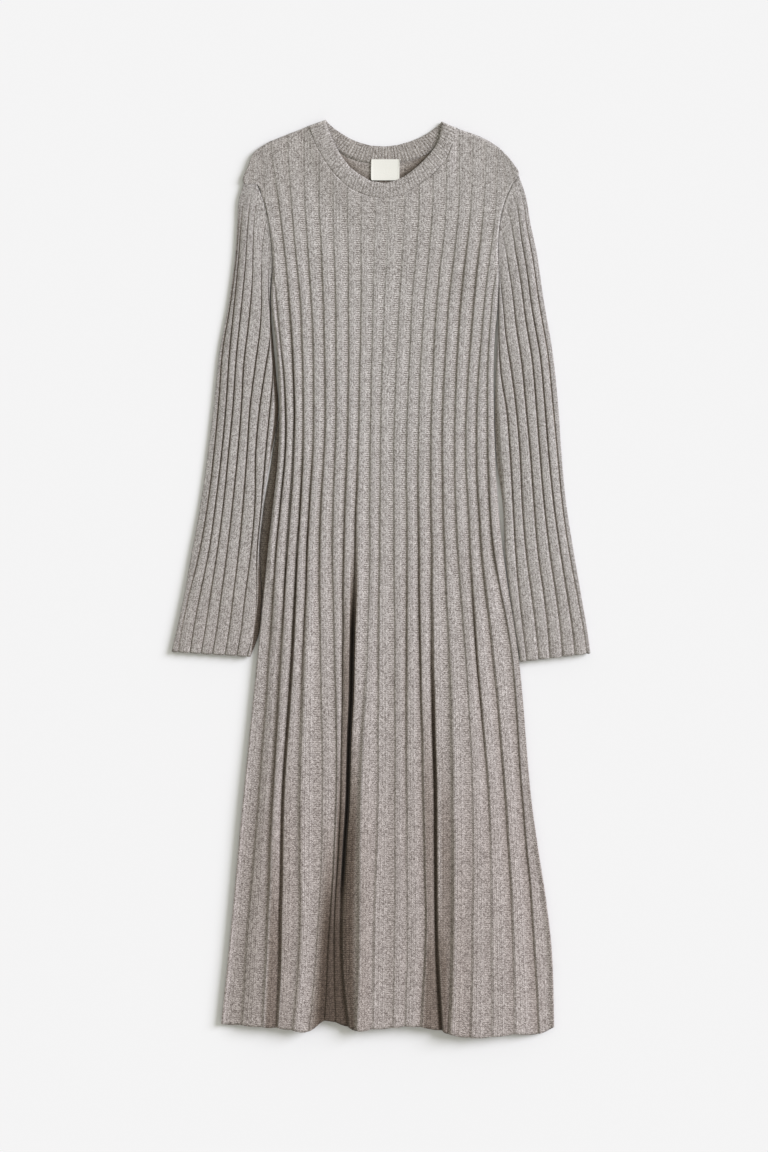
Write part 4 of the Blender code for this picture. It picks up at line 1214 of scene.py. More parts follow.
    def rib_form(self, share: Array, weight: Array, full: Array) -> Array:
        """Raise the ribs over the wall of the knit.

        Args:
            share: Share of the way across its rib, per point.
            weight: How strongly it is drawn in there.
            full: How full the cloth is there.

        Returns:
            Height of the ribs, which is below nothing in the grooves.
        """
        rise = np.interp(self.plan[..., 1], LEVELS, self.rib_rise) * full
        rise *= self.least_rise + (1.0 - self.least_rise) * np.minimum(weight, 1.1)
        wall = np.maximum(ease(*self.rise_side, share), 1.0 - ease(4.0, 8.0, self.edge_distance))
        flank = 1.0 - ease(*self.fall_side, share)
        crown = np.sin(math.pi * np.clip(share / self.crown_end, 0.0, 1.0))
        crown = 1.0 + self.crown_rise * crown
        dip = self.groove_dip * weight * (ease(*self.groove_side, share) + 1.0 - wall)
        return rise * (wall * flank * crown - dip)

    def shade(self, share: Array, weight: Array, drawn: Array) -> Array:
        """Darken the grooves, the ribs' far sides and the slope of the shoulders.

        Args:
            share: Share of the way across its rib, per point.
            weight: How strongly it is drawn in there.
            drawn: How deep in a groove it lies.

        Returns:
            How much shade is painted on each point.
        """
        # Painted shade: in the grooves, on the ribs' sides that face from the light, and on the
        # shoulders, most on the wearer's right, where they slope away from it.
        far_side = self.far_side_shade * np.clip(weight, 0.35, 1.0)
        far_side = far_side * ease(0.44, 1.0, share) ** 1.2
        groove = np.minimum(0.42 * drawn * (weight + 0.2), self.shade_most)
        slope = 0.04 + 0.08 * ease(-20.0, -110.0, self.plan[..., 0])
        return np.maximum(groove, far_side) + slope * bell(self.from_top, 90.0)

    def build(self) -> Piece:
        """Make the front, and keep the line of its neck seam.

        Returns:
            The front: a ribbed outside over a plain inside with far fewer points.
        """
        down = self.plan[..., 1]
        ribs, width = self.rib_place()
        share = ribs % 1.0
        weight = self.crease_weight(ribs)
        lift, fold_shade = self.lift(ribs)
        swell, full = self.swell(), self.fullness()
        inside = BACK_WALL + SEAM_GAP + (self.loft() + lift) * swell
        thickness = FRONT_EDGE_WALL + (FRONT_WALL - FRONT_EDGE_WALL) * full

        groove_distance = np.minimum(share, 1.0 - share) * width
        drawn = weight * bell(groove_distance, self.crease_width + self.crease_spread * weight)
        drawn *= ease(0.0, self.seam_margin, self.edge_distance)
        rough = unevenness(self.seed + 1, down.shape, (160, 130))
        slow = unevenness(self.seed + 2, down.shape, (24, 16))
        top = inside + thickness + self.rib_form(share, weight, full) - self.crease_depth * drawn
        pleats, crest_light = self.pleats()
        top += pleats * swell
        pad = self.side_pad + self.skirt_pad * ease(*self.skirt_pad_levels, down)
        top += pad * bell(self.edge_distance, self.pad_width) * self.roll
        top += (self.uneven_fine * rough + self.uneven_slow * slow) * full

        # Painted shade in the grooves, on the far sides, on the shoulders and in the folds, less
        # the painted highlight on the pleats' crests.
        painted_shade = np.maximum(self.shade(share, weight, drawn), fold_shade) - crest_light
        purl = ease(0.60, 0.70, share) * ease(60.0, 140.0, down)
        cloth = self.stitch_map(ribs)
        draft = ClothDraft("front_of_dress")
        outer = draft.add_points(np.dstack([self.plan, top]), painted_shade, purl)
        draft.add_quads(outer, cloth)
        plain = np.arange(0, len(self.columns), len(self.rib_shares))
        inner = draft.add_points(np.dstack([self.plan[:, plain], inside[:, plain]]), 0.0,
                                 StitchFace.PURL.value)
        draft.add_quads(inner[:, ::-1], cloth[:, plain][:, ::-1])
        for end in (0, -1):
            draft.add_strip(outer[end], inner[end], list(plain), cloth[end])
        draft.close_sides(outer, inner, cloth)
        self.neck_line = np.dstack([self.plan, top])[0, self.neck_columns]
        piece = draft.finish(self.place, self.wool)
        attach(piece, "root")
        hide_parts("front_panel")
        return piece


@dataclass
class BackPanel(BodyPanel):
    """Back: its plain inside shows in the neck, and its ribs are pressed flat underneath."""
    neck: tuple = NECK_BACK
    hem_down: float = BACK_HEM_DOWN
    hem_drop: float = 0.0
    rib_shares: tuple = (0.0, 0.07, 0.16, 0.36, 0.56, 0.68, 0.84, 0.94)
    rows: int = 150
    seed: int = 23
    groove_width: float = 1.2
    groove_depth: float = 0.35  # on the plain inside
    groove_up: float = 0.75  # how far a groove keeps off the surface underneath
    edge_roll: float = 5.0
    neck_inside_down: float = 120.0  # above it, the inside shows in the neck
    strip_shade: tuple = ((0.0, 0.07, 0.2), (0.46, 0.85, 0.0))  # painted shade of the strip beside the waist

    def lay_out(self) -> Array:
        """Draw the shared plan, with the strip that peeps out beside the waist.

        Returns:
            Across and down of every column, row by row.
        """
        plan = super().lay_out()
        self.peep = np.interp(self.fine_knots, *BACK_PEEP)
        plan[..., 0] -= self.peep[:, None] * (self.columns < 0.05)
        return plan

    def shade(self) -> Array:
        """Darken what lies in shade: the strip beside the waist, and the neck below the band.

        Returns:
            How much shade is painted on each point.
        """
        # Painted shade on the strip beside the waist, and on the neck's inside, with a painted
        # shadow of the front's neckband near its free edge.
        below = (self.fine_knots > UNDERARM_DOWN)[:, None]
        strip = np.interp(self.columns, *self.strip_shade) * below
        rim = along(np.array(NECK_FRONT)[:, 2:], np.linspace(0.0, 260.0, 200))
        apart = self.plan[:, :, None] - rim
        apart = np.sqrt((apart ** 2).sum(axis=-1).min(axis=-1))
        from_light = 0.55 + 0.45 * ease(-10.0, 30.0, self.plan[..., 0])
        in_neck = 0.32 + 0.5 * from_light * bell(apart, 7.0)
        return strip + in_neck * (self.plan[..., 1] < self.neck_inside_down)

    def pressed(self, share: Array, drawn: Array) -> Array:
        """Press the ribs flat on the surface.

        Args:
            share: Share of the way across its rib, per point.
            drawn: How deep in a groove it lies.

        Returns:
            Height of the back's outside.
        """
        edge = 1.0 - round_over(self.edge_distance, self.edge_roll)
        top_edge = 1.0 - round_over(self.from_top, self.edge_roll)
        top_edge = np.where(self.at_neck[None, :], 0.0, top_edge)
        grooves = self.groove_up * (drawn + 0.35 * ease(0.58, 0.72, share))
        creases = 0.8 * np.maximum(unevenness(self.seed + 2, share.shape, (9, 7)) - 0.45, 0.0)
        return np.maximum(BACK_EDGE_UP * np.maximum(edge * self.roll, top_edge),
                          grooves + creases)

    def build(self) -> Piece:
        """Make the back.

        Returns:
            The back, with its plain inside up.
        """
        ribs, width = self.rib_place()
        share = ribs % 1.0
        drawn = bell(np.minimum(share, 1.0 - share) * width, self.groove_width)
        inside = BACK_WALL + 0.08 * unevenness(self.seed + 1, share.shape, (90, 80))
        inside = inside - self.groove_depth * drawn
        up = self.pressed(share, drawn)
        low_edge = np.minimum(self.peep / 4.0, 1.0)
        inside[:, 0] -= 1.5 * low_edge
        up[:, 0] -= (up[:, 0] - 0.2) * low_edge

        cloth = self.stitch_map(ribs)
        cloth[:, 0, 0] -= self.peep
        draft = ClothDraft("back_of_dress")
        # The inside gets painted shade in its grooves, on the strip beside the waist and in the
        # neck; the underside gets painted shade in its grooves.
        in_neck = self.plan[..., 1] < self.neck_inside_down
        outer = draft.add_points(np.dstack([self.plan, inside]),
                                 np.maximum(0.25 * drawn, self.shade()), 1.0 - 0.7 * in_neck)
        draft.add_quads(outer, cloth)
        under = draft.add_points(np.dstack([self.plan, up]), 0.6 * drawn, ease(0.58, 0.70, share))
        draft.add_quads(under[:, ::-1], cloth[:, ::-1])
        draft.close_ends(outer, under, cloth)
        draft.close_sides(outer, under, cloth)
        piece = draft.finish(self.place, self.wool)
        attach(piece, "root")
        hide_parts("back_panel")
        return piece


# ---- The sleeves ------------------------------------------------------------------------------


@dataclass
class Sleeve:
    """A flattened tube, open at the armhole and the cuff, with ribs along it."""
    side: WearerSide
    place: Placement
    wool: Material
    wall: float = 2.0
    top_at_seam: float = 5.8
    top: float = 6.6
    outer_edge_up: float = 3.4
    seam_end_up: float = 4.5  # the same at the shoulder
    cuff_end_up: float = 5.6  # and at the cuff
    inner_edge_up: float = 4.2
    ledge_drop: float = 1.6  # how much lower it is at a ledge
    outer_roll: float = 17.0
    inner_roll: float = 2.2
    foot: float = 6.0  # reach of the rounded edges underneath
    rib_rise: float = 1.55
    rib_lean: float = 0.18  # how much lower a rib is at its far side
    crease_depth: float = 1.5
    crease_width: float = 1.0
    uneven_slow: float = 0.35
    uneven_fine: float = 0.08
    cuff_reach: float = 6.0  # where the ribs open
    cuff_rise: float = 0.5
    cuff_scallop: float = 1.6
    ripple: float = 0.15  # of the layer underneath
    ripple_length: float = 17.0
    lining_floor: float = 1.0  # height of the inside's lower layer
    rows: int = 190
    rib_shares: tuple = (0.0, 0.05, 0.11, 0.19, 0.30, 0.42, 0.54, 0.66, 0.77, 0.86, 0.93, 0.97)
    under_shares: tuple = (0.985, 0.96, 0.92, 0.86, 0.78, 0.69, 0.6, 0.5, 0.4, 0.31, 0.22, 0.14,
                           0.08, 0.04, 0.015)

    def __post_init__(self) -> None:
        """Read the sleeve's tables and lay its upper layer out."""
        right = self.side is WearerSide.RIGHT
        rows = RIGHT_SLEEVE_ROWS if right else LEFT_SLEEVE_ROWS
        grooves = RIGHT_SLEEVE_GROOVES if right else LEFT_SLEEVE_GROOVES
        yoke = [(row.left_across, row.left_down) if right else (row.right_across, row.right_down)
                for row in YOKE_ROWS[ARMHOLE_FROM_ROW:]]
        self.seed = 41 if right else 43
        self.armhole = beside(np.array(yoke), -0.1 if right else 0.1)
        self.starts = np.vstack([self.armhole[0], [row[:2] for row in rows]])
        self.ends = np.vstack([self.armhole[-1], [row[2:4] for row in rows]])
        self.bends = np.array([1.0] + [row.bend for row in rows])
        self.knots = lengths_along((self.starts + self.ends) / 2.0)
        self.lengths = np.linspace(0.0, self.knots[-1], self.rows)
        self.whole = self.lengths / self.lengths[-1]
        self.ledge = smooth(self.knots, np.array([0.0] + [row.ledge for row in rows]),
                            self.lengths)[:, None]

        count = len(self.knots)
        inner = [smooth(SLEEVE_LEVELS, groove, np.arange(count)) for groove in grooves]
        self.groove_shares = np.array([np.zeros(count), *inner, np.ones(count)]).T
        self.ribs = len(grooves) + 1
        self.columns = np.array([rib + share for rib in range(self.ribs)
                                 for share in self.rib_shares] + [self.ribs])
        edges = np.arange(self.ribs + 1)
        self.plan = self.lay_out(np.array([np.interp(self.columns, edges, row)
                                           for row in self.groove_shares]))
        steps = np.linalg.norm(np.diff(self.plan, axis=1), axis=-1)
        self.from_outer = np.concatenate([np.zeros((self.rows, 1)), np.cumsum(steps, axis=1)],
                                         axis=1)
        self.width = self.from_outer[:, -1:]
        row_place = np.interp(self.lengths, self.knots, np.arange(count))
        self.crest = (self.top_at_seam
                      + (self.top - self.top_at_seam) * ease(0, 4, row_place)[:, None])
        self.strength = np.interp(row_place, *SLEEVE_CREASES)[:, None]

    def lay_out(self, shares: Array) -> Array:
        """Find places on the sleeve.

        Args:
            shares: Their share of the way across, for each coarse row.

        Returns:
            Across and down of each, for each fine row.
        """
        length = lengths_along(self.armhole)[-1]
        curved = along(self.armhole, shares * length)
        straight = self.armhole[0] + shares[..., None] * (self.armhole[-1] - self.armhole[0])
        chord = self.starts[:, None] + shares[..., None] * (self.ends - self.starts)[:, None]
        bent = chord + self.bends[:, None, None] * (curved - straight)
        return smooth(self.knots, bent, self.lengths)

    def outer_end(self) -> Array:
        """Height of the outer edge in every row: level with the shoulder, and open at the cuff."""
        at_seam, at_cuff = 1.0 - ease(0.0, 45.0, self.lengths), ease(0.55, 0.95, self.whole)
        return (self.outer_edge_up + (self.seam_end_up - self.outer_edge_up) * at_seam
                + (self.cuff_end_up - self.outer_edge_up) * at_cuff)

    def height(self, from_outer: Array, from_inner: Array) -> tuple[Array, Array]:
        """Shape the upper layer without its ribs.

        Args:
            from_outer: Distance of each point from the outer edge.
            from_inner: Its distance from the inner edge, beside the body.

        Returns:
            Its height, and how far it is on the inner edge's ledge.
        """
        low = self.inner_edge_up - self.ledge_drop * np.clip(self.ledge / 3.0, 0.0, 1.0)
        lip = round_over(from_inner, 0.8)
        step = round_over(from_inner - self.ledge, self.inner_roll)
        inner = low + lip + (self.crest - low - 1.0) * step
        low_end = self.outer_end()[:, None]
        outer = low_end + round_over(from_outer, 1.0)
        outer = outer + (self.crest - low_end - 1.0) * ease(0.0, self.outer_roll, from_outer)
        on_ledge = 1.0 - ease(self.ledge - 1.0, self.ledge + 1.6, from_inner)
        return np.minimum(inner, outer), on_ledge * np.clip(self.ledge / 2.0, 0.0, 1.0)

    def upper_layer(self) -> tuple[Array, Array, Array]:
        """Shape the ribbed layer that shows.

        Returns:
            Its plan, its height and the shade painted on it, per point.
        """
        from_outer, from_inner = self.from_outer, self.width - self.from_outer
        base, on_ledge = self.height(from_outer, from_inner)
        per_rib = len(self.rib_shares)
        number = np.minimum(np.arange(len(self.columns)) // per_rib, self.ribs - 1)
        rib_start = from_outer[:, ::per_rib]
        rib_width = np.maximum(np.diff(rib_start, axis=1)[:, number], 0.5)
        in_rib = from_outer - rib_start[:, number]
        share = in_rib / rib_width
        dome = np.clip(4.0 * share * (1.0 - share), 0.0, 1.0) ** 0.45
        near_edge = np.minimum(1.0, 0.1 + from_outer / self.outer_roll)
        near_edge = np.minimum(near_edge, 0.25 + np.clip(from_inner / self.inner_roll, 0.0, 1.0))
        near_edge *= 1.0 - 0.8 * on_ledge

        inner_groove = (self.columns > 0.5) & (self.columns < self.ribs - 0.5)
        begun = ease(0.0, 60.0, self.lengths)[:, None]
        groove_distance = np.minimum(in_rib, rib_width - in_rib)
        drawn = bell(groove_distance, self.crease_width) * inner_groove * begun
        rise = self.rib_rise * (0.35 + 0.65 * begun)
        sunk = self.crease_depth * drawn * (0.4 + 0.6 * self.strength)
        up = base + (rise * dome * (1.0 - self.rib_lean * share) - sunk) * near_edge
        up += self.uneven_slow * unevenness(self.seed, base.shape, (14, 5)) * near_edge
        up += self.uneven_fine * unevenness(self.seed + 1, base.shape, (90, 50)) * near_edge
        cuff = np.exp(-(self.lengths[-1] - self.lengths) / self.cuff_reach)[:, None]
        up += self.cuff_rise * cuff * dome * near_edge
        plan = self.plan + np.dstack([0.0 * dome, self.cuff_scallop * cuff * dome])

        # Painted shade: in the grooves, on the ribs' sides that face from the light, on the ledge,
        # and darker towards the cuff.
        dark = SLEEVE_SHADES[self.side]
        far_side = dark.far_side * ease(0.45, 1.0, share)
        far_side = far_side + dark.cuff * ease(0.5, 0.9, self.whole)[:, None]
        painted_shade = np.maximum(dark.groove * self.strength * drawn, far_side)
        return plan, up, np.maximum(painted_shade, dark.ledge * on_ledge)

    def under_layer(self, inner_end: Array) -> Array:
        """Shape the layer that lies on the surface.

        Args:
            inner_end: Height of the upper layer at the inner edge, row by row.

        Returns:
            Its points, from the inner to the outer edge.
        """
        shares = np.array(self.under_shares)
        plan = self.lay_out(np.tile(shares, (len(self.knots), 1)))
        at_edge = np.where(shares > 0.5, inner_end, self.outer_end()[:, None])
        distance = np.minimum(shares, 1.0 - shares) * self.width
        off_floor = 1.0 - round_over(distance, self.foot)
        waves = 1.0 + np.sin(TAU * distance / self.ripple_length)
        return np.dstack([plan, at_edge * off_floor + self.ripple * waves * (1.0 - off_floor)])

    def inside(self) -> Array:
        """Shape the plain inside, a wall's thickness in from the outside.

        Returns:
            Its points, with one column for each groove above and each third one underneath.
        """
        plain_under = np.tile(self.under_shares[3:-3:3], (len(self.knots), 1))
        plain = np.concatenate([self.groove_shares, plain_under], axis=1)
        inset = self.wall / np.linalg.norm(self.ends - self.starts, axis=1)[:, None]
        shares = inset + plain * (1.0 - 2.0 * inset)
        fine = smooth(self.knots, shares, self.lengths)
        roof, _ = self.height(fine * self.width, (1.0 - fine) * self.width)
        is_top = np.arange(plain.shape[1]) < self.ribs + 1
        up = np.where(is_top, np.maximum(roof - self.wall, 1.3), self.lining_floor)
        return np.dstack([self.lay_out(shares), up])

    def build(self) -> Piece:
        """Make the sleeve.

        Returns:
            The sleeve: a ring of outside, a ring of inside, and a wall at each open end.
        """
        plan, up, painted_shade = self.upper_layer()
        under = self.under_layer(up[:, -1:])
        draft = ClothDraft("sleeve_of_wearers_" + self.side.value)
        ring = np.concatenate([np.dstack([plan, up]), under], axis=1)
        painted_shade = np.concatenate([painted_shade, 0.0 * under[..., 2]], axis=1)
        outer = draft.add_points(ring, painted_shade, StitchFace.KNIT.value)
        outer = np.concatenate([outer, outer[:, :1]], axis=1)
        wales = np.concatenate([self.columns, self.ribs * (2.0 - np.array(self.under_shares)),
                                [2.0 * self.ribs]])
        wales = wales * WALES_PER_RIB * WALE
        cloth = np.stack(np.broadcast_arrays(wales, self.lengths[:, None]), axis=-1)
        draft.add_quads(outer, cloth)

        # The inside, within the tube, is painted with shade.
        inner = draft.add_points(self.inside(), 0.4, StitchFace.PURL.value)
        matches = [len(self.rib_shares) * k for k in range(self.ribs + 1)]
        matches += [len(self.columns) + k for k in range(len(self.under_shares))[3:-3:3]]
        matches.append(outer.shape[1] - 1)
        inner = np.concatenate([inner, inner[:, :1]], axis=1)
        draft.add_quads(inner[:, ::-1], cloth[:, matches][:, ::-1])
        for end in (0, -1):
            draft.add_strip(outer[end], inner[end], matches, cloth[end])
        piece = draft.finish(self.place, self.wool)
        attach(piece, "root")
        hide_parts("sleeve_" + self.side.value)
        return piece


# ---- The neck ---------------------------------------------------------------------------------


@dataclass
class Neckband:
    """One closed ring of fine doubled rib, folded over at the two neck points."""
    place: Placement
    wool: Material
    width: float = 20.0  # of one layer, in its stitch map
    front_wall: float = 3.2
    back_wall: float = 2.9
    clearance: float = 1.8  # between the band's front and back halves
    seam_shift: float = 0.15  # half of the gap at the seam
    rib_rise: float = 0.5
    front_ribs: int = 58
    back_ribs: int = 45
    per_rib: int = 6
    turn_stations: int = 12
    turn_away: tuple = (0.35, -0.937)  # where a neck point's fold bulges
    outer_shares: tuple = (0.0, 0.06, 0.14, 0.26, 0.42, 0.58, 0.74, 0.86, 0.94, 1.0)
    crown: tuple = (-0.5, -0.25, -0.05, 0.15, 0.25, 0.25, 0.1, -0.1, -0.6, -1.6)
    inner_shares: tuple = (1.0, 0.9, 0.7, 0.45, 0.2, 0.0)

    def __post_init__(self) -> None:
        """Work out the radius of the outer fold and of the inner one."""
        self.turn = (self.back_wall + self.clearance + self.front_wall) / 2.0
        self.inner_turn = self.clearance / 2.0

    def half(self, rows: tuple, shares: Array) -> Array:
        """Lay half of the band out.

        Args:
            rows: The half's table.
            shares: Shares of the way along it.

        Returns:
            The point on the seam and on the free edge for each share.
        """
        table = np.array(rows)
        pair = []
        for line in (beside(table[:, :2], self.seam_shift), table[:, 2:]):
            length = lengths_along(line)[-1]
            pair.append(along(line, self.turn + shares * (length - 2.0 * self.turn)))
        return np.concatenate(pair, axis=-1)

    def course(self) -> tuple[Array, Array, Array]:
        """Lay the ring out: over the front, down at one neck point, along the back, and up.

        Returns:
            The points on the seam and the free edge, how far round the fold each is, and how
            much its rib is raised.
        """
        over = self.half(NECK_FRONT, np.linspace(0.0, 1.0, self.front_ribs * self.per_rib + 1))
        under = self.half(NECK_BACK, np.linspace(1.0, 0.0, self.back_ribs * self.per_rib + 1))
        part = np.arange(1, self.turn_stations + 1) / (self.turn_stations + 1)
        quarter = math.pi / 2.0
        down_angles, up_angles = quarter - part * math.pi, -quarter + part * math.pi
        right = over[-1] + (0.5 - down_angles / math.pi)[:, None] * (under[0] - over[-1])
        left = over[0] + (0.5 - up_angles / math.pi)[:, None] * (under[-1] - over[0])
        angle = np.concatenate([np.full(len(over), quarter), down_angles,
                                np.full(len(under), -quarter), up_angles])
        phase = np.concatenate([np.arange(len(over)), np.arange(len(right)) + 1,
                                np.arange(len(under)), np.arange(len(left)) + 1]) / self.per_rib
        raised = np.abs(np.sin(math.pi * phase)) ** 0.6
        return np.concatenate([over, right, under, left]), angle, raised

    def rings(self) -> tuple[Array, Array, Array]:
        """Shape the band's section at every station.

        Returns:
            The points, station by station, the shade painted on each, and the length of the band's
            middle.
        """
        lines, angle, raised = self.course()
        seam, reach = lines[:, :2], lines[:, 2:] - lines[:, :2]
        sine, cosine = np.sin(angle), np.cos(angle)
        outward = np.where(lines[:, :1] > 0, self.turn_away[0], -self.turn_away[0])
        away = np.concatenate([outward, np.full_like(outward, self.turn_away[1])], axis=1)
        away = away * cosine[:, None]
        # Shade is painted between the band's fine ribs, and more on its inner layers, which lie in
        # shade.
        rings, creases = [], []
        for share, crown in zip(self.outer_shares, self.crown):
            plan = seam + share * reach + away * self.turn
            rounding = crown * np.maximum(sine, 0.0) + 0.5 * max(-crown, 0.0) * (sine < -0.5)
            rib = self.rib_rise * (raised - 0.5) * np.maximum(sine, 0.0)
            rib = rib * math.sin(math.pi * (0.12 + 0.76 * share))
            up = self.turn + self.turn * sine + rounding + rib
            rings.append(np.column_stack([plan, np.maximum(up, 0.0)]))
            creases.append(0.25 * (1.0 - raised))
        for share in self.inner_shares:
            plan = seam + share * reach + away * self.inner_turn
            rib = self.rib_rise * (raised - 0.3) * np.maximum(-sine, 0.0)
            rib = rib * math.sin(math.pi * (0.1 + 0.8 * share))
            up = self.back_wall + self.inner_turn + self.inner_turn * sine + rib
            rings.append(np.column_stack([plan, up]))
            creases.append(0.08 + 0.42 * (1.0 - raised))
        painted_shade = np.stack(creases, axis=1)
        painted_shade[:, 0] = 0.08
        middle = seam + 0.5 * reach
        return np.stack(rings, axis=1), painted_shade, lengths_along(np.vstack([middle, middle[:1]]))

    def build(self) -> Piece:
        """Make the band.

        Returns:
            The band, closed round the neck and round its section.
        """
        points, painted_shade, length = self.rings()
        draft = ClothDraft("neckband_rib")
        ids = draft.add_points(points, painted_shade, StitchFace.KNIT.value)
        ids = np.concatenate([ids, ids[:1]], axis=0)
        ids = np.concatenate([ids, ids[:, :1]], axis=1)
        across = np.concatenate([np.array(self.outer_shares) * self.width,
                                 2.0 * self.width - np.array(self.inner_shares) * self.width,
                                 [2.0 * self.width + 2.0]])
        draft.add_quads(ids, np.stack(np.broadcast_arrays(length[:, None], across), axis=-1))
        piece = draft.finish(self.place, self.wool)
        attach(piece, "root")
        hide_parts("neckband")
        return piece


@dataclass
class NeckLabel:
    """Blank woven label, folded under at its two ends and held by a few stitches."""
    place: Placement
    tape: Material
    thickness: float = 0.55
    fold: float = 1.4  # how far the ends are folded under
    doubled: float = 0.18  # how much thicker they are for it
    curl: float = 0.5  # how far they stand up
    lower_lift: float = 0.5  # how far the loose lower edge does
    corner_round: float = 0.9
    sharp_angle: float = 50.0  # degrees
    columns: int = 44
    rows: int = 26
    stitch_in: float = 0.8  # where the stitches are
    stitch_down: tuple = (1.0, 9.0)
    stitch_up: float = 1.15

    def sewn_lines(self) -> list[Array]:
        """Draw the two short lines along which the label is sewn on.

        Returns:
            Each line's points, across, down and up.
        """
        top, low = (LABEL_DOWN[0] + down for down in self.stitch_down)
        down = np.linspace(top, low, 8)
        up = np.full(len(down), LABEL_UP + self.stitch_up)
        return [np.column_stack([np.full(len(down), across), down, up])
                for across in (LABEL_ACROSS[0] + self.stitch_in, LABEL_ACROSS[1] - self.stitch_in)]

    def build(self) -> Piece:
        """Make the label.

        Returns:
            The label, a little curled.
        """
        u, v = np.meshgrid(np.linspace(0, 1, self.columns), np.linspace(0, 1, self.rows))
        size_across = LABEL_ACROSS[1] - LABEL_ACROSS[0]
        size_down = LABEL_DOWN[1] - LABEL_DOWN[0]
        corner = self.corner_round * (np.abs(2 * u - 1) ** 16) * (np.abs(2 * v - 1) ** 10)
        across = LABEL_ACROSS[0] + u * size_across - np.sign(u - 0.5) * corner
        down = LABEL_DOWN[0] + v * size_down
        bow = self.curl * (4 * (u - 0.5) ** 2) * (0.4 + 0.6 * v)
        bow = bow + self.lower_lift * ease(0.4, 1.0, v)
        from_end = np.minimum(u, 1 - u) * size_across
        doubled = self.doubled * (1.0 - ease(self.fold, self.fold + 0.8, from_end))
        low = np.stack([across, down, LABEL_UP + bow], axis=-1)
        high = np.stack([across, down, LABEL_UP + bow + self.thickness + doubled], axis=-1)
        flat = np.stack([across, down], axis=-1)
        draft = ClothDraft("neck_label")
        top, bottom = draft.add_points(high), draft.add_points(low)
        draft.add_quads(top, flat)
        draft.add_quads(bottom[:, ::-1], flat[:, ::-1])
        draft.close_ends(top, bottom, flat)
        draft.close_sides(top, bottom, flat)
        piece = draft.finish(self.place, self.tape)
        piece.data.set_sharp_from_angle(angle=math.radians(self.sharp_angle))
        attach(piece, "root")
        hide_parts("label")
        return piece


# ---- Stitches ---------------------------------------------------------------------------------


def grown(name: str, carrier: Piece, tree: Tree, sizes: dict[str, object]) -> Piece:
    """Run a Geometry Nodes tree on a carrier and keep its result as a plain mesh.

    Args:
        name: Name of the piece.
        carrier: Object that the tree works on; it is removed.
        tree: The tree.
        sizes: Values of its named inputs.

    Returns:
        The piece.
    """
    bpy.context.scene.collection.objects.link(carrier)
    modifier = carrier.modifiers.new("grow", "NODES")
    modifier.node_group = tree
    for socket in tree.interface.items_tree:
        if socket.in_out == "INPUT" and socket.name in sizes:
            modifier[socket.identifier] = sizes[socket.name]
    evaluated = carrier.evaluated_get(bpy.context.evaluated_depsgraph_get())
    mesh = bpy.data.meshes.new_from_object(evaluated)
    carrier.modifiers.remove(modifier)
    bpy.data.objects.remove(carrier, do_unlink=True)
    mesh.name = name
    mesh.shade_smooth()
    piece = bpy.data.objects.new(name, mesh)
    bpy.context.scene.collection.objects.link(piece)
    return piece


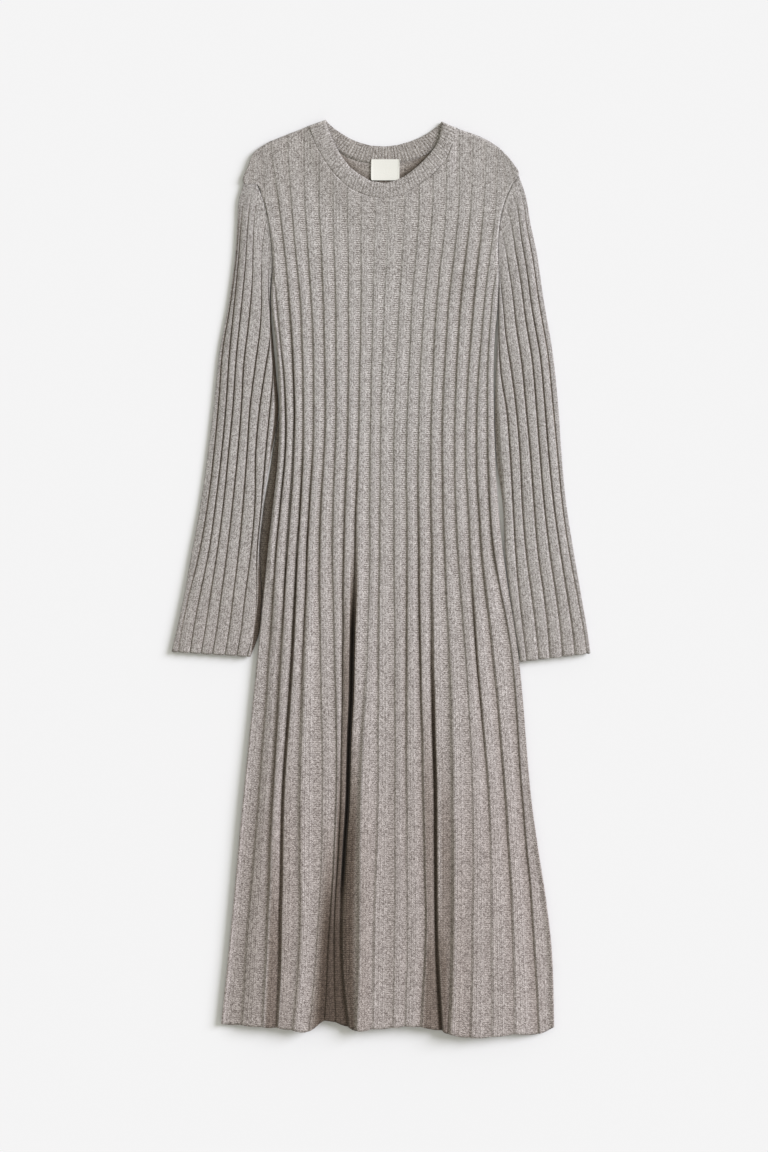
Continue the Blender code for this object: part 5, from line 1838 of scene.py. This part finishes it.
@dataclass
class StitchRow:
    """A row of small stitches along a line, made by one Geometry Nodes tree."""
    name: str
    place: Placement
    thread: Material
    material_slot: str
    spacing: float = 2.6
    length: float = 2.2
    thickness: float = 0.45
    tilt: float = 0.5  # radians, to one side and the other by turns
    facets: int = 6
    rings: int = 5

    def tree(self) -> Tree:
        """Build the tree: points along the path, one short stitch on each, tilted by turns.

        Returns:
            The tree, with a named input for each size.
        """
        tree = bpy.data.node_groups.new(self.name + "_stitches", "GeometryNodeTree")
        for name, kind in (("Path", "NodeSocketGeometry"), ("Spacing", "NodeSocketFloat"),
                           ("Length", "NodeSocketFloat"), ("Thickness", "NodeSocketFloat"),
                           ("Tilt", "NodeSocketFloat"), ("Thread", "NodeSocketMaterial")):
            tree.interface.new_socket(name=name, in_out="INPUT", socket_type=kind)
        tree.interface.new_socket(name="Stitches", in_out="OUTPUT",
                                  socket_type="NodeSocketGeometry")
        given = add_node(tree, "NodeGroupInput").outputs
        path = add_node(tree, "GeometryNodeMeshToCurve", (given["Path"],))
        dots = add_node(tree, "GeometryNodeResampleCurve",
                        {"Curve": path, "Length": given["Spacing"]}, mode="LENGTH")
        tangent = add_node(tree, "GeometryNodeInputTangent")
        turn = add_node(tree, "FunctionNodeAlignRotationToVector", {"Vector": tangent}, axis="X")
        index = add_node(tree, "GeometryNodeInputIndex")
        odd = add_node(tree, MATH, (index, 2.0), operation="MODULO")
        swing = add_node(tree, MATH, (odd, 2.0, -1.0), operation="MULTIPLY_ADD")
        angle = add_node(tree, MATH, (swing, given["Tilt"]), operation="MULTIPLY")
        lean = add_node(tree, "ShaderNodeCombineXYZ", {2: angle})
        turned = add_node(tree, "FunctionNodeRotateRotation", (turn, lean),
                          rotation_space="LOCAL")
        size = add_node(tree, "ShaderNodeCombineXYZ",
                        (given["Length"], given["Thickness"], given["Thickness"]))
        bead = add_node(tree, "GeometryNodeMeshUVSphere",
                        {"Segments": self.facets, "Rings": self.rings, "Radius": 0.5})
        spread = add_node(tree, "GeometryNodeInstanceOnPoints",
                          {"Points": dots, "Instance": bead, "Rotation": turned, "Scale": size})
        real = add_node(tree, "GeometryNodeRealizeInstances", (spread,))
        dyed = add_node(tree, "GeometryNodeSetMaterial",
                        {"Geometry": real, "Material": given["Thread"]})
        add_node(tree, "NodeGroupOutput", (dyed,))
        return tree

    def build(self, lines: list[Array]) -> Piece:
        """Sew along one or more lines.

        Args:
            lines: Each line's points, across, down and up in millimetres.

        Returns:
            The stitches as one plain mesh.
        """
        points, edges = [], []
        for line in lines:
            first = len(points)
            points += [tuple(p) for p in self.place.to_world(line)]
            edges += [(first + k, first + k + 1) for k in range(len(line) - 1)]
        path = bpy.data.meshes.new(self.name + "_path")
        path.from_pydata(points, edges, [])
        carrier = bpy.data.objects.new(self.name + "_path", path)
        sizes = {"Spacing": self.spacing * MM, "Length": self.length * MM,
                 "Thickness": self.thickness * MM, "Tilt": self.tilt, "Thread": self.thread}
        piece = grown(self.name, carrier, self.tree(), sizes)
        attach(piece, "root")
        return piece


# ---- The studio -------------------------------------------------------------------------------


@dataclass(frozen=True)
class Studio:
    """Pale paper, one soft light from the right, soft fill from above, and the camera."""
    view_height: float = 1.52064  # metres of surface from the view's top to its foot
    middle: tuple = (0.0040, 0.0029)  # the place that it looks at
    level: float = 8.0  # millimetres: the height that the view is measured at
    lens: float = 100.0
    sensor: float = 36.0
    view_end: float = 50.0
    paper_reach: float = 14.0  # metres: past the edge of every view
    key_angle: tuple = (24.0, 31.0)  # degrees round from the right, and above the surface
    key_strength: float = 3.08
    key_softness: float = 32.0  # degrees across
    key_colour: tuple = (1.0, 1.0, 1.11)
    key_distance: float = 3.0
    fill_colour: tuple = (1.0, 0.995, 0.90, 1.0)
    fill_strength: float = 0.56

    def floor(self) -> None:
        """Lay a wide sheet of paper."""
        mesh = bpy.data.meshes.new("paper")
        half = self.paper_reach
        mesh.from_pydata([(-half, -half, 0), (half, -half, 0), (half, half, 0), (-half, half, 0)],
                         [], [(0, 1, 2, 3)])
        mesh.materials.append(StudioPaper().make())
        paper = bpy.data.objects.new("paper", mesh)
        bpy.context.scene.collection.objects.link(paper)

    def key(self) -> None:
        """Put up the wide, soft, distant light."""
        around, above = (math.radians(v) for v in self.key_angle)
        direction = Vector((math.cos(around) * math.cos(above), math.sin(around) * math.cos(above),
                            math.sin(above)))
        data = bpy.data.lights.new("key", "SUN")
        data.energy = self.key_strength
        data.color = self.key_colour
        data.angle = math.radians(self.key_softness)
        lamp = bpy.data.objects.new("key", data)
        lamp.rotation_mode = "QUATERNION"
        lamp.rotation_quaternion = (-direction).to_track_quat("-Z", "Y")
        lamp.location = direction * self.key_distance
        bpy.context.scene.collection.objects.link(lamp)

    def fill(self) -> None:
        """Light the room evenly."""
        world = bpy.data.worlds.new("studio")
        world.use_nodes = True
        shade = world.node_tree.nodes["Background"]
        shade.inputs[0].default_value = self.fill_colour
        shade.inputs[1].default_value = self.fill_strength
        bpy.context.scene.world = world
        bpy.context.scene.view_settings.view_transform = "Standard"

    def camera(self) -> None:
        """Look straight down, from far enough for little perspective."""
        data = bpy.data.cameras.new("camera")
        data.lens = self.lens
        data.sensor_width = self.sensor
        data.dof.use_dof = False
        data.clip_end = self.view_end
        camera = bpy.data.objects.new("camera", data)
        distance = self.view_height * self.lens / self.sensor
        camera.location = (*self.middle, distance + self.level * MM)
        bpy.context.scene.collection.objects.link(camera)
        bpy.context.scene.camera = camera


# ---- Main -------------------------------------------------------------------------------------


def main() -> None:
    """Build the dress piece by piece and report each one."""
    logging.basicConfig(level=logging.INFO, format="%(name)s: %(message)s")
    place = Placement.from_frame()
    wool = HeatherWool().make()
    tape = WovenTape().make()
    linking = SpunThread("wool_linking_yarn", "#a49b93").make()
    pale = SpunThread("label_thread", "#c9c5bb").make()

    studio = Studio()
    for put_up in (studio.floor, studio.key, studio.fill, studio.camera):
        put_up()

    front = FrontPanel(place, wool)
    label = NeckLabel(place, tape)
    for part in (front, BackPanel(place, wool), *(Sleeve(side, place, wool) for side in WearerSide),
                 Neckband(place, wool), label):
        piece = part.build()
        LOG.info("%s: %d faces", piece.name, len(piece.data.polygons))
    seam = front.neck_line - np.array([0.0, 0.0, LINKING_SUNK])
    neck_row = StitchRow("neck_linking", place, linking, "wool_knit").build([seam])
    label_row = StitchRow("label_stitches", place, pale, "woven_label", spacing=1.6, length=1.2,
                          thickness=0.22, tilt=0.2).build(label.sewn_lines())
    for piece in (neck_row, label_row):
        LOG.info("%s: %d faces", piece.name, len(piece.data.polygons))


if __name__ == "__main__":
    main()
